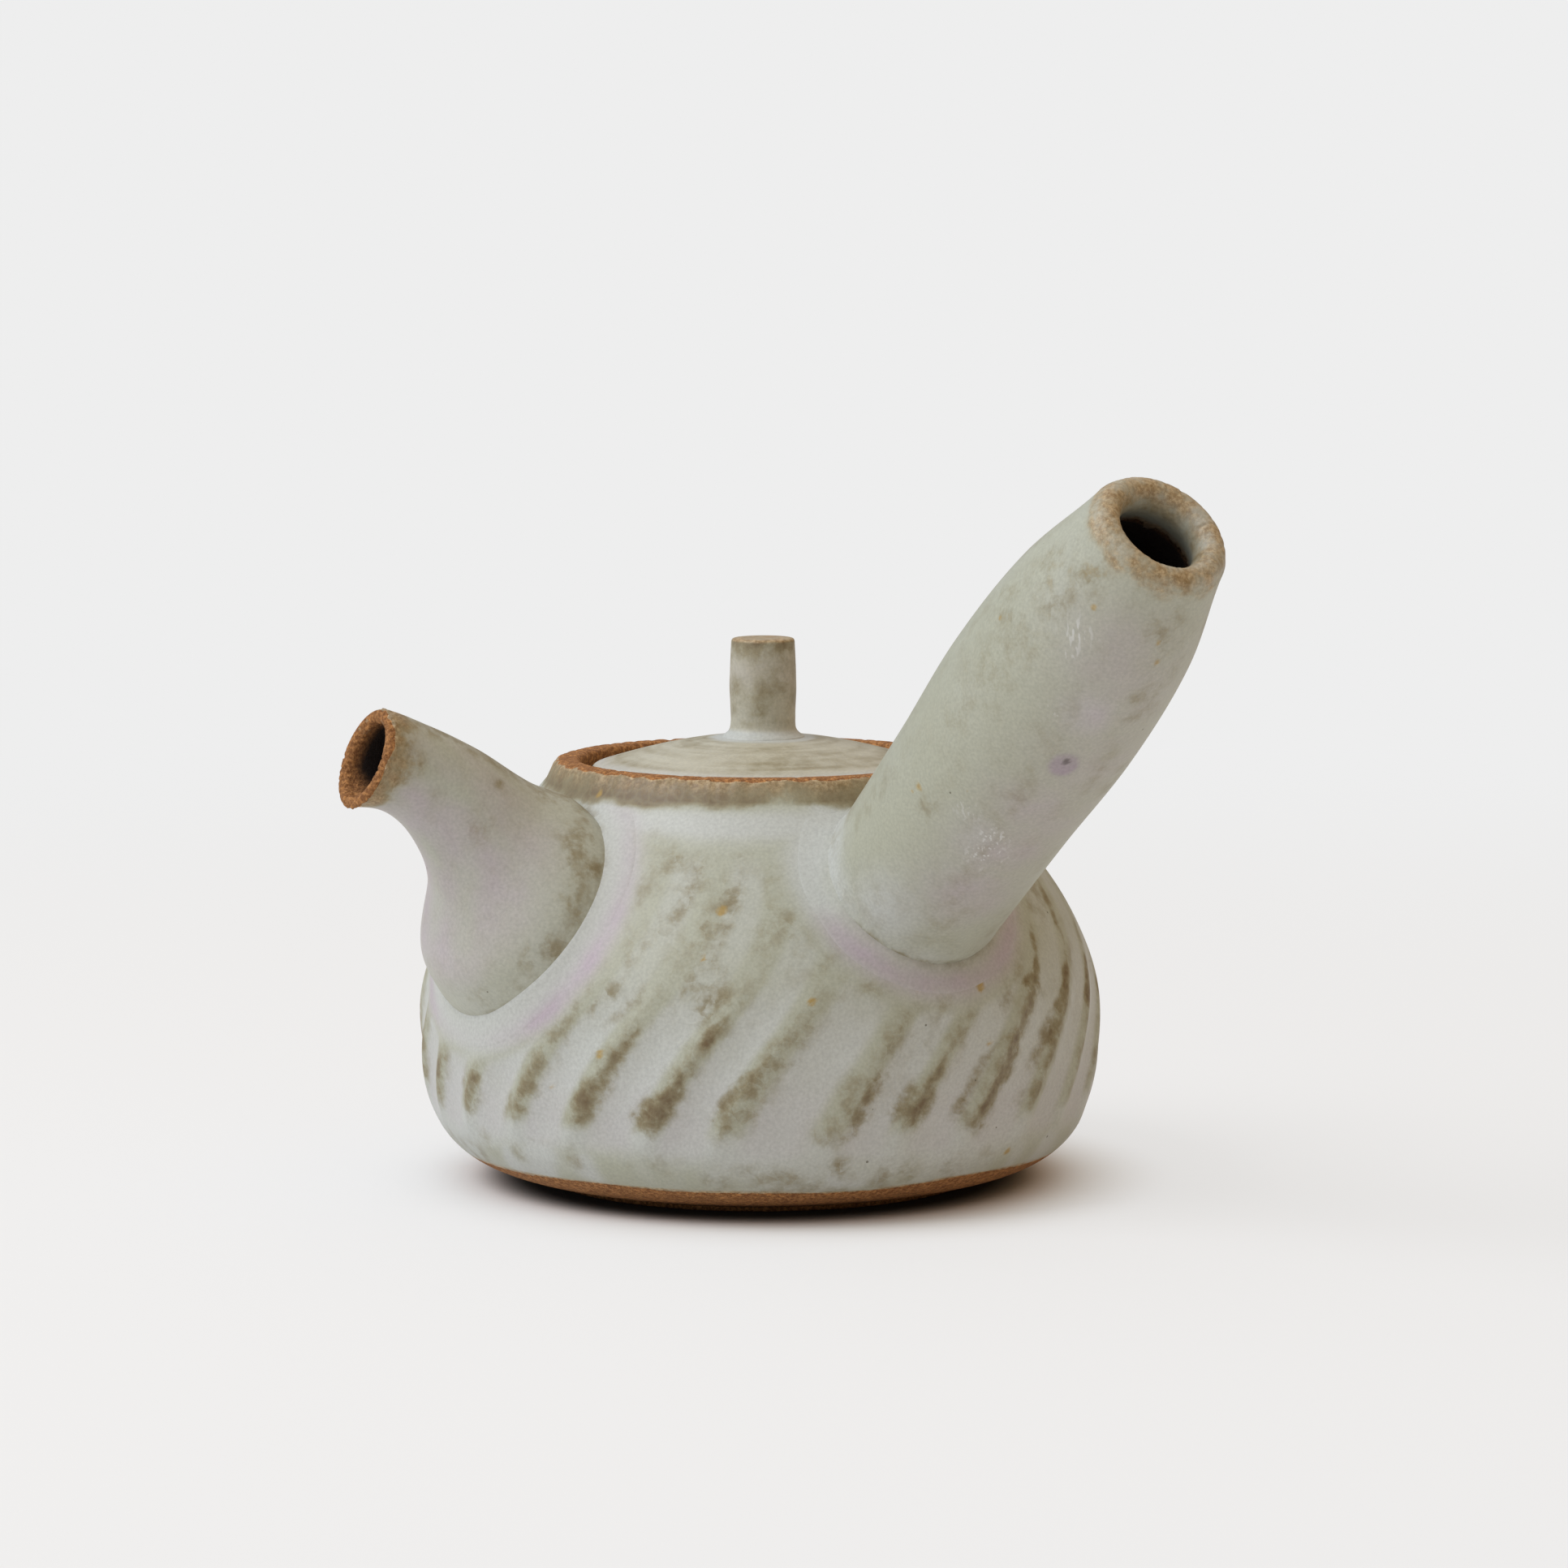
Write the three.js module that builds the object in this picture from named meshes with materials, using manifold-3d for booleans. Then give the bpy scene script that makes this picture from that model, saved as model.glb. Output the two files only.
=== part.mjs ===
// A stoneware side-handle teapot, in millimetres, +Z up.
// The origin is the middle of the flat base, on the pot's own axis. The spout
// points along -X and the hollow handle along -Y, a quarter turn apart, so that
// the right hand holds the handle and tips the spout to the left.
// The pot, lid, knob, spout and handle are thrown or pulled one by one, then
// luted together with slip: each is a solid of its own here, with a hair's
// breadth of clearance where the clay of two of them meets.

import * as THREE from "three";
import { mergeVertices } from "three/addons/utils/BufferGeometryUtils.js";
import Module from "manifold-3d";

const wasm = await Module();
wasm.setup();

// Clearance where two pieces touch, and how far a cutter runs past a face.
const clearance = 0.3;
const overrun = 2;
const weldDistance = 1e-4;

// The pot's outside, a squat belly drawn in to a short collar.
const bellyRadius = 50;
const bellyHeight = 22.25;
const footRadius = 31.9;
const footEase = 0.7;
const footSwell = 5.6;
const footFlare = 0.337;
const bellyDrop = 21.2;
const bellyRise = 13.3;
const shoulderWidth = 18.8;
const neckRadius = bellyRadius - shoulderWidth;
const neckHeight = 58.4;
const shoulderReach = 18.9;
const shoulderSlope = 0.696;
const collarTaper = 1.6;
const collarHeight = 3.1;
const rimRadius = neckRadius - collarTaper;
const rimHeight = neckHeight + collarHeight;
const rimEase = 0.7;
const lowerSteps = 8;
const upperSteps = 10;
const fineSteps = 80;

// The pot's wall, floor and the gallery that the lid sits on.
const potWall = 3.6;
const floorThickness = 5;
const rimWall = 3.4;
const galleryDepth = 4.2;
const galleryWidth = 2.8;
const galleryLip = 1.7;
const cavityColumns = 36;
const cavitySteps = 6;

// The flutes, cut side by side round the belly with a loop tool. Each one climbs
// to the right and straightens towards the collar. The shares say where a flute's
// points lie between two ridges and how deep they are cut.
const fluteCount = 27;
const fluteDepth = 0.9;
const fluteFoot = 8;
const fluteTopDrop = 2.4;
const fluteTop = neckHeight - fluteTopDrop;
const fluteFade = 7;
const fluteMargin = 2.5;
const fluteRows = 11;
const fluteTwist = 0.4276;
const fluteStart = -3.4173;
const fluteAcrossShares = [0, 0.22, 0.5, 0.78];
const fluteCutShares = [0, 0.72, 1, 0.7];
// How far each ridge sits off its even place, as a share of the pitch. The cuts
// are made by eye, so no two flutes are quite alike.
const ridgeWanderShares = [
  -0.03, -0.09, -0.08, -0.14, -0.09, -0.16, 0.2, 0.1, 0.07, 0.12, 0.02, -0.05, 0.06, 0.1,
  -0.04, -0.1, 0.03, 0.08, -0.07, -0.02, 0.09, 0.05, -0.08, 0.04, 0.1, -0.03, 0.05,
];

// The spout, a thrown cone pressed on to the shoulder and bent up to a short
// tip. The middle of its join lies its reach down the shoulder from the collar,
// and places are measured outwards and upwards from there.
const spoutJoinReach = 20.5;
const spoutRootInset = 6;
const spoutRootDrop = 8;
const spoutBendOut = 4.4;
const spoutBendRise = 20.8;
const spoutTipOut = 23;
const spoutTipRise = 23.2;
const spoutRootLean = 0.956;
const spoutTipLean = 0.385;
const spoutRadius = 16.7;
const spoutWall = 1.95;
const spoutRadiusShares = [0.955, 0.99, 0.598, 0.427, 0.348, 0.353];
const spoutRootHeightShare = 0.881;
const spoutTipHeightShare = 1.245;
const spoutTipEase = 0.8;
const spoutColumns = 30;
const spoutSteps = 10;

// The pierced strainer, a small clay dome luted into the hole behind the spout.
const strainerRadius = 10.2;
const strainerDome = 7;
const strainerWall = 2.2;
const strainerRing = 2.6;
const strainerInset = 2.1;
const strainerHoleRadius = 1;
const strainerHoleStep = 0.3;
const strainerHoleRings = 3;
const strainerHolesAround = 6;
const strainerHoleSides = 6;
const strainerColumns = 20;
const strainerSteps = 4;

// The hollow handle, a thrown tube that swells to a soft waist and closes in to
// a rounded lip. Its root is trimmed to the shoulder, whose wall closes it.
const handleJoinReach = 13.8;
const handleRise = 0.755;
const handleLength = 77.6;
const handleRootInset = 14;
const handleRadius = 14.7;
const handleWall = 4;
const handleRadiusShares = [0.88, 0.91, 0.94, 0.988, 0.913, 0.657];
const handleLipEase = 1.6;
const handleColumns = 32;
const handleSteps = 9;

// The soft coils of clay pressed into the angle round each join, and how far
// each one is hollowed between its two edges.
const spoutCoilWidth = 2.4;
const handleCoilWidth = 3.4;
const coilHollowShare = 0.3;
const coilColumns = 40;
const halvings = 12;

// The lid, a low dome on an inset disc with a locating flange under it. It rests
// a little off centre, as loose lids do.
const lidPlay = 1.1;
const lidRestShift = 0.45;
const lidRestHeading = -0.593;
const lidEdge = 2.7;
const lidRise = 4.2;
const lidWall = 3.2;
const lidEase = 0.8;
const lidPadRadius = 5.8;
const lidCrownPower = 1.5;
const lidSteps = 4;
const flangeWall = 2.6;
const flangeDepth = 5;
const ventRadius = 1.2;
const ventReach = 12;
const ventHeading = 0.98;
const ventSides = 12;
const lidColumns = 44;

// The knob, a short turned post with a flared foot.
const knobHeight = 14.1;
const knobRadius = 4.9;
const knobTopRadius = 4.55;
const knobWaistRadius = 4.65;
const knobFootRadius = 5.4;
const knobFootHeight = 1.3;
const knobEase = 0.5;
const knobColumns = 24;
const knobSteps = 6;

// Fired clay under a matt pale glaze, and the same clay where it stays bare.
const glaze = { color: 0xc9cbc3, roughness: 0.62, metalness: 0 };
const thinGlaze = { color: 0xb4b1a0, roughness: 0.66, metalness: 0 };
const bareClay = { color: 0x8a5f41, roughness: 0.85, metalness: 0 };

// A closed mesh as a solid that can be joined and cut. Triangles that close up
// to nothing on the axis of a turned piece are left out.
function solidOf(geometry) {
  const bare = geometry.clone();
  bare.deleteAttribute("normal");
  bare.deleteAttribute("uv");
  const welded = mergeVertices(bare, weldDistance);
  const corners = welded.index.array;
  const faces = [];
  for (let i = 0; i < corners.length; i += 3) {
    const [a, b, c] = corners.slice(i, i + 3);
    if (a !== b && b !== c && c !== a) faces.push(a, b, c);
  }
  return new wasm.Manifold(
    new wasm.Mesh({
      numProp: 3,
      vertProperties: welded.attributes.position.array,
      triVerts: new Uint32Array(faces),
    }),
  );
}

// A solid as a mesh geometry.
function geometryOf(solid) {
  const mesh = solid.getMesh();
  const geometry = new THREE.BufferGeometry();
  geometry.setAttribute("position", new THREE.BufferAttribute(mesh.vertProperties, 3));
  geometry.setIndex(new THREE.BufferAttribute(mesh.triVerts, 1));
  geometry.computeVertexNormals();
  return geometry;
}

// A profile of (radius, height) points turned round the Z axis.
function turned(profile, columns) {
  return new THREE.LatheGeometry(profile, columns).rotateX(Math.PI / 2);
}

// A skin over a row of closed rings, shut by a fan at each end.
function loft(rings) {
  const count = rings[0].length;
  const points = rings.flat();
  const middleOf = (ring) => {
    const sum = ring.reduce((total, point) => total.add(point), new THREE.Vector3());
    return sum.divideScalar(count);
  };
  const first = points.push(middleOf(rings[0])) - 1;
  const last = points.push(middleOf(rings[rings.length - 1])) - 1;
  const faces = [];
  for (let i = 0; i < rings.length - 1; i += 1) {
    for (let j = 0; j < count; j += 1) {
      const a = i * count + j;
      const b = i * count + ((j + 1) % count);
      faces.push(a, b, a + count, b, b + count, a + count);
    }
  }
  const start = (rings.length - 1) * count;
  for (let j = 0; j < count; j += 1) {
    const next = (j + 1) % count;
    faces.push(first, next, j, last, start + j, start + next);
  }
  return new THREE.BufferGeometry().setFromPoints(points).setIndex(faces);
}

// A skin over rings that follow each other round a closed loop.
function loopLoft(rings) {
  const count = rings[0].length;
  const faces = [];
  for (let i = 0; i < rings.length; i += 1) {
    const onward = ((i + 1) % rings.length) * count;
    for (let j = 0; j < count; j += 1) {
      const a = i * count + j;
      const b = i * count + ((j + 1) % count);
      const across = onward + ((j + 1) % count);
      faces.push(a, b, onward + j, b, across, onward + j);
    }
  }
  return new THREE.BufferGeometry().setFromPoints(rings.flat()).setIndex(faces);
}

// A smooth step from 0 to 1 between two places.
const ease = (value, from, to) => THREE.MathUtils.smoothstep(value, from, to);

// The value of a smooth curve through evenly spaced shares.
function shareAlong(shares, along) {
  const stations = shares.map((share, station) => new THREE.Vector2(station, share));
  return new THREE.SplineCurve(stations).getPoint(along).y;
}

const at = (radius, height) => new THREE.Vector2(radius, height);

// The pot's outline from foot to rim: a curve from the foot out to the belly and
// one from the belly in to the collar.
const lowerCurve = new THREE.CubicBezierCurve(
  at(footRadius, footEase),
  at(footRadius + footSwell * Math.cos(footFlare), footEase + footSwell * Math.sin(footFlare)),
  at(bellyRadius, bellyHeight - bellyDrop),
  at(bellyRadius, bellyHeight),
);
const upperCurve = new THREE.CubicBezierCurve(
  at(bellyRadius, bellyHeight),
  at(bellyRadius, bellyHeight + bellyRise),
  at(
    neckRadius + shoulderReach * Math.sin(shoulderSlope),
    neckHeight - shoulderReach * Math.cos(shoulderSlope),
  ),
  at(neckRadius, neckHeight),
);
const potSide = [...lowerCurve.getPoints(fineSteps), ...upperCurve.getPoints(fineSteps)];

// The pot's outer radius at a height, or nothing above the rim.
function radiusAt(height) {
  if (height > rimHeight) return 0;
  if (height > neckHeight) {
    const share = (height - neckHeight) / (rimHeight - neckHeight);
    return THREE.MathUtils.lerp(neckRadius, rimRadius, share);
  }
  const above = potSide.findIndex((point, i) => i > 0 && point.y >= height);
  const high = potSide[Math.max(above, 1)];
  const low = potSide[Math.max(above, 1) - 1];
  const share = THREE.MathUtils.clamp((height - low.y) / Math.max(high.y - low.y, weldDistance), 0, 1);
  return THREE.MathUtils.lerp(low.x, high.x, share);
}

// A curve's points moved square to the curve, outwards for a positive distance.
function beside(curve, steps, distance) {
  return Array.from({ length: steps + 1 }, (_, i) => {
    const along = curve.getTangent(i / steps);
    const point = curve.getPoint(i / steps);
    return at(point.x + along.y * distance, point.y - along.x * distance);
  });
}

// The plain outside of the pot, grown by a distance, to trim what is luted on.
function potEnvelope(grow) {
  const profile = [
    at(0, -grow),
    at(footRadius + grow, -grow),
    ...beside(lowerCurve, lowerSteps, grow),
    ...beside(upperCurve, upperSteps, grow).slice(1),
    at(rimRadius + grow, rimHeight + grow),
    at(0, rimHeight + grow),
  ];
  return solidOf(turned(profile, cavityColumns * 2));
}

// The height of the place that lies a distance down the shoulder from the collar.
function heightDownShoulder(distance) {
  let left = distance;
  let place = potSide.length - 1;
  while (place > 1 && left > potSide[place].distanceTo(potSide[place - 1])) {
    left -= potSide[place].distanceTo(potSide[place - 1]);
    place -= 1;
  }
  const share = left / potSide[place].distanceTo(potSide[place - 1]);
  return THREE.MathUtils.lerp(potSide[place].y, potSide[place - 1].y, share);
}

// The middle of a join on the shoulder, and the way the shoulder faces there.
function joinOn(reach, heading) {
  const height = heightDownShoulder(reach);
  const step = potWall / 2;
  const radius = radiusAt(height);
  const slope = new THREE.Vector2(radiusAt(height + step) - radiusAt(height - step), 2 * step);
  slope.normalize();
  const point = heading.clone().multiplyScalar(radius);
  point.z = height;
  const facing = heading.clone().multiplyScalar(slope.y);
  facing.z = -slope.x;
  return { point, facing, heading };
}

const spoutJoin = joinOn(spoutJoinReach, new THREE.Vector3(-1, 0, 0));
const handleJoin = joinOn(handleJoinReach, new THREE.Vector3(0, -1, 0));

// A place measured outwards along a join's heading and upwards from its middle.
function fromJoin(join, out, rise) {
  const place = join.point.clone().addScaledVector(join.heading, out);
  place.z += rise;
  return place;
}

// The spout and the handle as arms: an axis, the lean of the rings across it, and
// their half width and half height along the axis.
const spoutArm = {
  heading: spoutJoin.heading,
  axis: new THREE.QuadraticBezierCurve3(
    fromJoin(spoutJoin, -spoutRootInset, -spoutRootDrop),
    fromJoin(spoutJoin, spoutBendOut, spoutBendRise),
    fromJoin(spoutJoin, spoutTipOut, spoutTipRise),
  ),
  leanAt: (along) => THREE.MathUtils.lerp(spoutRootLean, spoutTipLean, along),
  widthAt: (along) => spoutRadius * shareAlong(spoutRadiusShares, along),
  heightAt: (along) => THREE.MathUtils.lerp(spoutRootHeightShare, spoutTipHeightShare, along),
};
const handleArm = {
  heading: handleJoin.heading,
  axis: new THREE.LineCurve3(
    fromJoin(handleJoin, -handleRootInset * Math.cos(handleRise), -handleRootInset * Math.sin(handleRise)),
    fromJoin(handleJoin, handleLength * Math.cos(handleRise), handleLength * Math.sin(handleRise)),
  ),
  leanAt: () => handleRise,
  widthAt: (along) => handleRadius * shareAlong(handleRadiusShares, along),
  heightAt: () => 1,
};

// The way that an arm's ring faces.
function facingAt(arm, along) {
  const lean = arm.leanAt(along);
  const facing = arm.heading.clone().multiplyScalar(Math.cos(lean));
  facing.z = Math.sin(lean);
  return facing;
}

// A point on an arm, grown by a distance and pushed along the way its ring faces.
function pointOn(arm, along, turn, grow, push = 0) {
  const facing = facingAt(arm, along);
  const side = new THREE.Vector3(0, 0, 1).cross(arm.heading);
  const upright = facing.clone().cross(side);
  const width = arm.widthAt(along);
  const point = arm.axis.getPoint(along).addScaledVector(facing, push);
  point.addScaledVector(side, (width + grow) * Math.cos(turn));
  point.addScaledVector(upright, (width * arm.heightAt(along) + grow) * Math.sin(turn));
  return point;
}

// One ring of an arm.
function ringOf(arm, columns, along, grow, push = 0) {
  return Array.from({ length: columns }, (_, i) =>
    pointOn(arm, along, (i / columns) * 2 * Math.PI, grow, push),
  );
}

// An arm filled solid from inside the pot to its end, with its end eased round.
function armSolid(arm, columns, steps, grow, endEase) {
  const rings = [ringOf(arm, columns, 0, grow - potWall, -2 * potWall)];
  for (let i = 0; i < steps; i += 1) rings.push(ringOf(arm, columns, i / steps, grow));
  rings.push(ringOf(arm, columns, 1, grow, -endEase));
  rings.push(ringOf(arm, columns, 1, grow - endEase));
  return solidOf(loft(rings));
}

// The bore of an arm, run past both its ends, with its mouth eased open.
function armBore(arm, columns, steps, wall, mouthEase) {
  const rings = [ringOf(arm, columns, 0, -wall - potWall, -3 * potWall)];
  for (let i = 0; i < steps; i += 1) rings.push(ringOf(arm, columns, i / steps, -wall));
  rings.push(ringOf(arm, columns, 1, -wall, -mouthEase));
  rings.push(ringOf(arm, columns, 1, mouthEase - wall));
  rings.push(ringOf(arm, columns, 1, mouthEase - wall, overrun));
  return solidOf(loft(rings));
}

// How far along an arm its outside leaves the pot, with both grown by a distance.
function leavesPot(arm, turn, grow) {
  const isOut = (along) => {
    const point = pointOn(arm, along, turn, grow);
    return Math.hypot(point.x, point.y) > radiusAt(point.z) + grow;
  };
  let inside = 0;
  for (let step = 0; step < fineSteps; step += 1) {
    if (!isOut(step / fineSteps)) inside = step / fineSteps;
  }
  let outside = inside + 1 / fineSteps;
  for (let halving = 0; halving < halvings; halving += 1) {
    const middle = (inside + outside) / 2;
    if (isOut(middle)) outside = middle;
    else inside = middle;
  }
  return outside;
}

// A solid placed with its own Z axis along a direction.
function aimed(geometry, origin, direction) {
  const turn = new THREE.Quaternion().setFromUnitVectors(new THREE.Vector3(0, 0, 1), direction);
  return geometry.applyQuaternion(turn).translate(origin.x, origin.y, origin.z);
}

// How deep the flutes are cut at a place: fading at both ends and round the joins.
function fluteStrength(radius, turn, height) {
  const ends =
    ease(height, fluteFoot, fluteFoot + fluteFade) *
    (1 - ease(height, fluteTop - 2 * fluteFade, fluteTop));
  const place = new THREE.Vector3(radius * Math.cos(turn), radius * Math.sin(turn), height);
  const fromSpout = place.distanceTo(spoutJoin.point);
  const fromHandle = place.distanceTo(handleJoin.point);
  return (
    ends *
    ease(fromSpout, spoutRadius + fluteMargin, spoutRadius + fluteMargin + fluteFade) *
    ease(fromHandle, handleRadius + fluteMargin, handleRadius + fluteMargin + fluteFade)
  );
}

// The fluted outside of the pot, solid. A turned shape is made with four columns
// to a flute, and each column is then led along its flute and drawn in.
function flutedOutside() {
  const fluteHeights = Array.from(
    { length: fluteRows },
    (_, i) => fluteFoot + ((fluteTop - fluteFoot) * i) / (fluteRows - 1),
  );
  const foot = beside(lowerCurve, lowerSteps, 0).filter((point) => point.y < fluteFoot);
  const profile = [
    at(0, 0),
    at(footRadius - footEase, 0),
    ...foot,
    ...fluteHeights.map((height) => at(radiusAt(height), height)),
    at(neckRadius, neckHeight),
    at(THREE.MathUtils.lerp(rimRadius, neckRadius, 1 / 3), rimHeight - rimEase),
    at(rimRadius - rimEase / 2, rimHeight),
    at(0, rimHeight),
  ];
  const perFlute = fluteAcrossShares.length;
  const columns = fluteCount * perFlute;
  const geometry = turned(profile, columns);
  const position = geometry.attributes.position;
  const wander = (ridge) => ridgeWanderShares[ridge % fluteCount % ridgeWanderShares.length];
  for (let i = 0; i <= columns; i += 1) {
    const ridge = Math.floor(i / perFlute);
    const across = fluteAcrossShares[i % perFlute];
    const place = ridge + across + wander(ridge) * (1 - across) + wander(ridge + 1) * across;
    for (let j = 0; j < profile.length; j += 1) {
      const { x: radius, y: height } = profile[j];
      const twist = fluteTwist * ease(height, fluteFoot, fluteTop - fluteFade);
      const turn = fluteStart + (place * 2 * Math.PI) / fluteCount + twist;
      const cut = fluteDepth * fluteCutShares[i % perFlute] * fluteStrength(radius, turn, height);
      const drawn = radius - cut;
      position.setXYZ(i * profile.length + j, drawn * Math.cos(turn), drawn * Math.sin(turn), height);
    }
  }
  return solidOf(geometry);
}

// The hollow of the pot: the inside of the wall, the ledge of the gallery and the
// mouth above it.
function potHollow() {
  const mouthRadius = rimRadius - rimWall;
  const ledgeRadius = mouthRadius - galleryWidth;
  const ledgeHeight = rimHeight - galleryDepth;
  const floorPoints = beside(lowerCurve, cavitySteps, -potWall).filter(
    (point) => point.y > floorThickness + potWall / 2,
  );
  const roofPoints = beside(upperCurve, cavitySteps, -potWall).filter(
    (point) => point.y < ledgeHeight - galleryLip - potWall / 2,
  );
  return solidOf(
    turned(
      [
        at(0, floorThickness),
        at(footRadius, floorThickness),
        ...floorPoints,
        ...roofPoints.slice(1),
        at(ledgeRadius, ledgeHeight - galleryLip),
        at(ledgeRadius, ledgeHeight),
        at(mouthRadius, ledgeHeight),
        at(mouthRadius, rimHeight - rimEase),
        at(mouthRadius + rimEase, rimHeight),
        at(mouthRadius + rimEase, rimHeight + overrun),
        at(0, rimHeight + overrun),
      ],
      cavityColumns,
    ),
  );
}

// The round hole through the wall behind the spout, which holds the strainer.
function spoutOpening() {
  const radius = strainerRadius + clearance;
  const drill = new THREE.CylinderGeometry(radius, radius, 2 * radius, strainerColumns);
  return solidOf(aimed(drill.rotateX(Math.PI / 2), spoutJoin.point, spoutJoin.facing));
}

function makePotBody() {
  return flutedOutside().subtract(potHollow()).subtract(spoutOpening());
}

// The spout: its outside less its bore, trimmed to the shoulder.
function makeSpout() {
  return armSolid(spoutArm, spoutColumns, spoutSteps, 0, spoutTipEase)
    .subtract(armBore(spoutArm, spoutColumns, spoutSteps, spoutWall, spoutTipEase))
    .subtract(potEnvelope(clearance));
}

// The handle, made as the spout is.
function makeHandle() {
  return armSolid(handleArm, handleColumns, handleSteps, 0, handleLipEase)
    .subtract(armBore(handleArm, handleColumns, handleSteps, handleWall, handleLipEase))
    .subtract(potEnvelope(clearance));
}

// A coil pressed into the angle between an arm and the pot, all the way round.
// Each section has a corner in the angle, one edge up the arm, one edge out on
// the shoulder, no higher than the collar, and a hollow between the two.
function makeCoil(arm, join, width) {
  const armLength = arm.axis.getLength();
  const sections = Array.from({ length: coilColumns }, (_, i) => {
    const turn = (i / coilColumns) * 2 * Math.PI;
    const along = leavesPot(arm, turn, clearance);
    const corner = pointOn(arm, along, turn, clearance);
    const onArm = pointOn(arm, along + width / armLength, turn, clearance);
    const away = corner.clone().sub(join.point);
    away.addScaledVector(join.facing, -away.dot(join.facing)).setLength(width);
    const onPot = corner.clone().add(away);
    onPot.z = Math.min(onPot.z, neckHeight);
    const scale = (radiusAt(onPot.z) + clearance) / Math.hypot(onPot.x, onPot.y);
    onPot.set(onPot.x * scale, onPot.y * scale, onPot.z);
    const hollow = onArm.clone().add(onPot).divideScalar(2).lerp(corner, coilHollowShare);
    return [corner, onArm, hollow, onPot];
  });
  return solidOf(loopLoft(sections));
}

// The strainer: half an ellipsoid on a short ring, pierced by rings of holes that
// fan out from below it. Its open side faces the spout.
function makeStrainer() {
  const arc = (radius, rise) =>
    Array.from({ length: strainerSteps }, (_, i) => {
      const turn = ((i + 1) / strainerSteps) * (Math.PI / 2);
      return at(radius * Math.sin(turn), rise * Math.cos(turn));
    });
  const shell = [
    at(0, strainerDome - strainerWall),
    ...arc(strainerRadius - strainerWall, strainerDome - strainerWall),
    at(strainerRadius - strainerWall, -strainerRing),
    at(strainerRadius, -strainerRing),
    ...arc(strainerRadius, strainerDome).reverse(),
    at(0, strainerDome),
  ];
  let dome = solidOf(turned(shell, strainerColumns));
  const reach = strainerRadius + strainerDome;
  const focus = new THREE.Vector3(0, 0, -strainerRing);
  for (let ring = 0; ring <= strainerHoleRings; ring += 1) {
    const holes = Math.max(1, strainerHolesAround * ring);
    for (let i = 0; i < holes; i += 1) {
      const tilt = ring * strainerHoleStep;
      const turn = (i / holes) * 2 * Math.PI;
      const way = new THREE.Vector3().setFromSphericalCoords(1, tilt, turn);
      way.set(way.x, way.z, way.y);
      const drill = new THREE.CylinderGeometry(
        strainerHoleRadius,
        strainerHoleRadius,
        reach,
        strainerHoleSides,
      );
      drill.rotateX(Math.PI / 2).translate(0, 0, reach / 2 + strainerRing);
      dome = dome.subtract(solidOf(aimed(drill, focus, way)));
    }
  }
  const inward = spoutJoin.facing.clone().negate();
  const seat = spoutJoin.point.clone().addScaledVector(inward, strainerInset + strainerRing);
  return solidOf(aimed(geometryOf(dome), seat, inward));
}

const ledgeTop = rimHeight - galleryDepth;
const lidUnder = ledgeTop + clearance;
const lidTop = lidUnder + lidEdge + lidRise;

// The lid: dome, edge, locating flange and the hollow under the dome, turned as
// one profile, with a small vent drilled through it.
function makeLid() {
  const outer = rimRadius - rimWall - lidPlay;
  const flangeOuter = rimRadius - rimWall - galleryWidth - lidPlay;
  const flangeInner = flangeOuter - flangeWall;
  const shoulder = lidUnder + lidEdge;
  const dome = (inset, from, to) =>
    Array.from({ length: lidSteps + 1 }, (_, i) => {
      const radius = THREE.MathUtils.lerp(from, to, i / lidSteps);
      const share = Math.max(radius - lidPadRadius, 0) / (outer - lidPadRadius);
      return at(radius, lidTop - inset - lidRise * share ** lidCrownPower);
    });
  const profile = [
    at(0, lidTop - lidWall),
    ...dome(lidWall, lidPadRadius, flangeInner),
    at(flangeInner, lidUnder - flangeDepth),
    at(flangeOuter, lidUnder - flangeDepth),
    at(flangeOuter, lidUnder),
    at(outer, lidUnder),
    at(outer, shoulder - lidEase),
    ...dome(0, outer - lidEase, lidPadRadius),
    at(0, lidTop),
  ];
  const drill = new THREE.CylinderGeometry(ventRadius, ventRadius, 4 * lidWall, ventSides);
  drill.rotateX(Math.PI / 2);
  drill.translate(ventReach * Math.cos(ventHeading), ventReach * Math.sin(ventHeading), lidTop);
  return solidOf(turned(profile, lidColumns)).subtract(solidOf(drill));
}

// The knob, turned from its flared foot to its flat top.
function makeKnob() {
  const foot = lidTop + clearance;
  const top = foot + knobHeight;
  const waist = new THREE.QuadraticBezierCurve(
    at(knobFootRadius, foot),
    at(knobWaistRadius, foot + knobFootHeight / 3),
    at(knobWaistRadius, foot + 2 * knobFootHeight),
  );
  const post = new THREE.QuadraticBezierCurve(
    at(knobWaistRadius, foot + 2 * knobFootHeight),
    at(2 * knobRadius - (knobWaistRadius + knobTopRadius) / 2, (foot + top) / 2),
    at(knobTopRadius, top - knobEase),
  );
  return solidOf(
    turned(
      [
        at(0, foot),
        ...waist.getPoints(knobSteps).slice(0, -1),
        ...post.getPoints(knobSteps),
        at(knobTopRadius - knobEase, top),
        at(0, top),
      ],
      knobColumns,
    ),
  );
}

// A named mesh with a finish of its own.
function piece(name, solid, finish) {
  const mesh = new THREE.Mesh(geometryOf(solid), new THREE.MeshStandardMaterial(finish));
  mesh.name = name;
  return mesh;
}

const pot = new THREE.Group();
pot.add(
  piece("pot_body", makePotBody(), glaze),
  piece("spout", makeSpout(), glaze),
  piece("strainer", makeStrainer(), bareClay),
  piece("handle", makeHandle(), glaze),
  piece("spout_joint_coil", makeCoil(spoutArm, spoutJoin, spoutCoilWidth), glaze),
  piece("handle_joint_coil", makeCoil(handleArm, handleJoin, handleCoilWidth), glaze),
);

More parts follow.
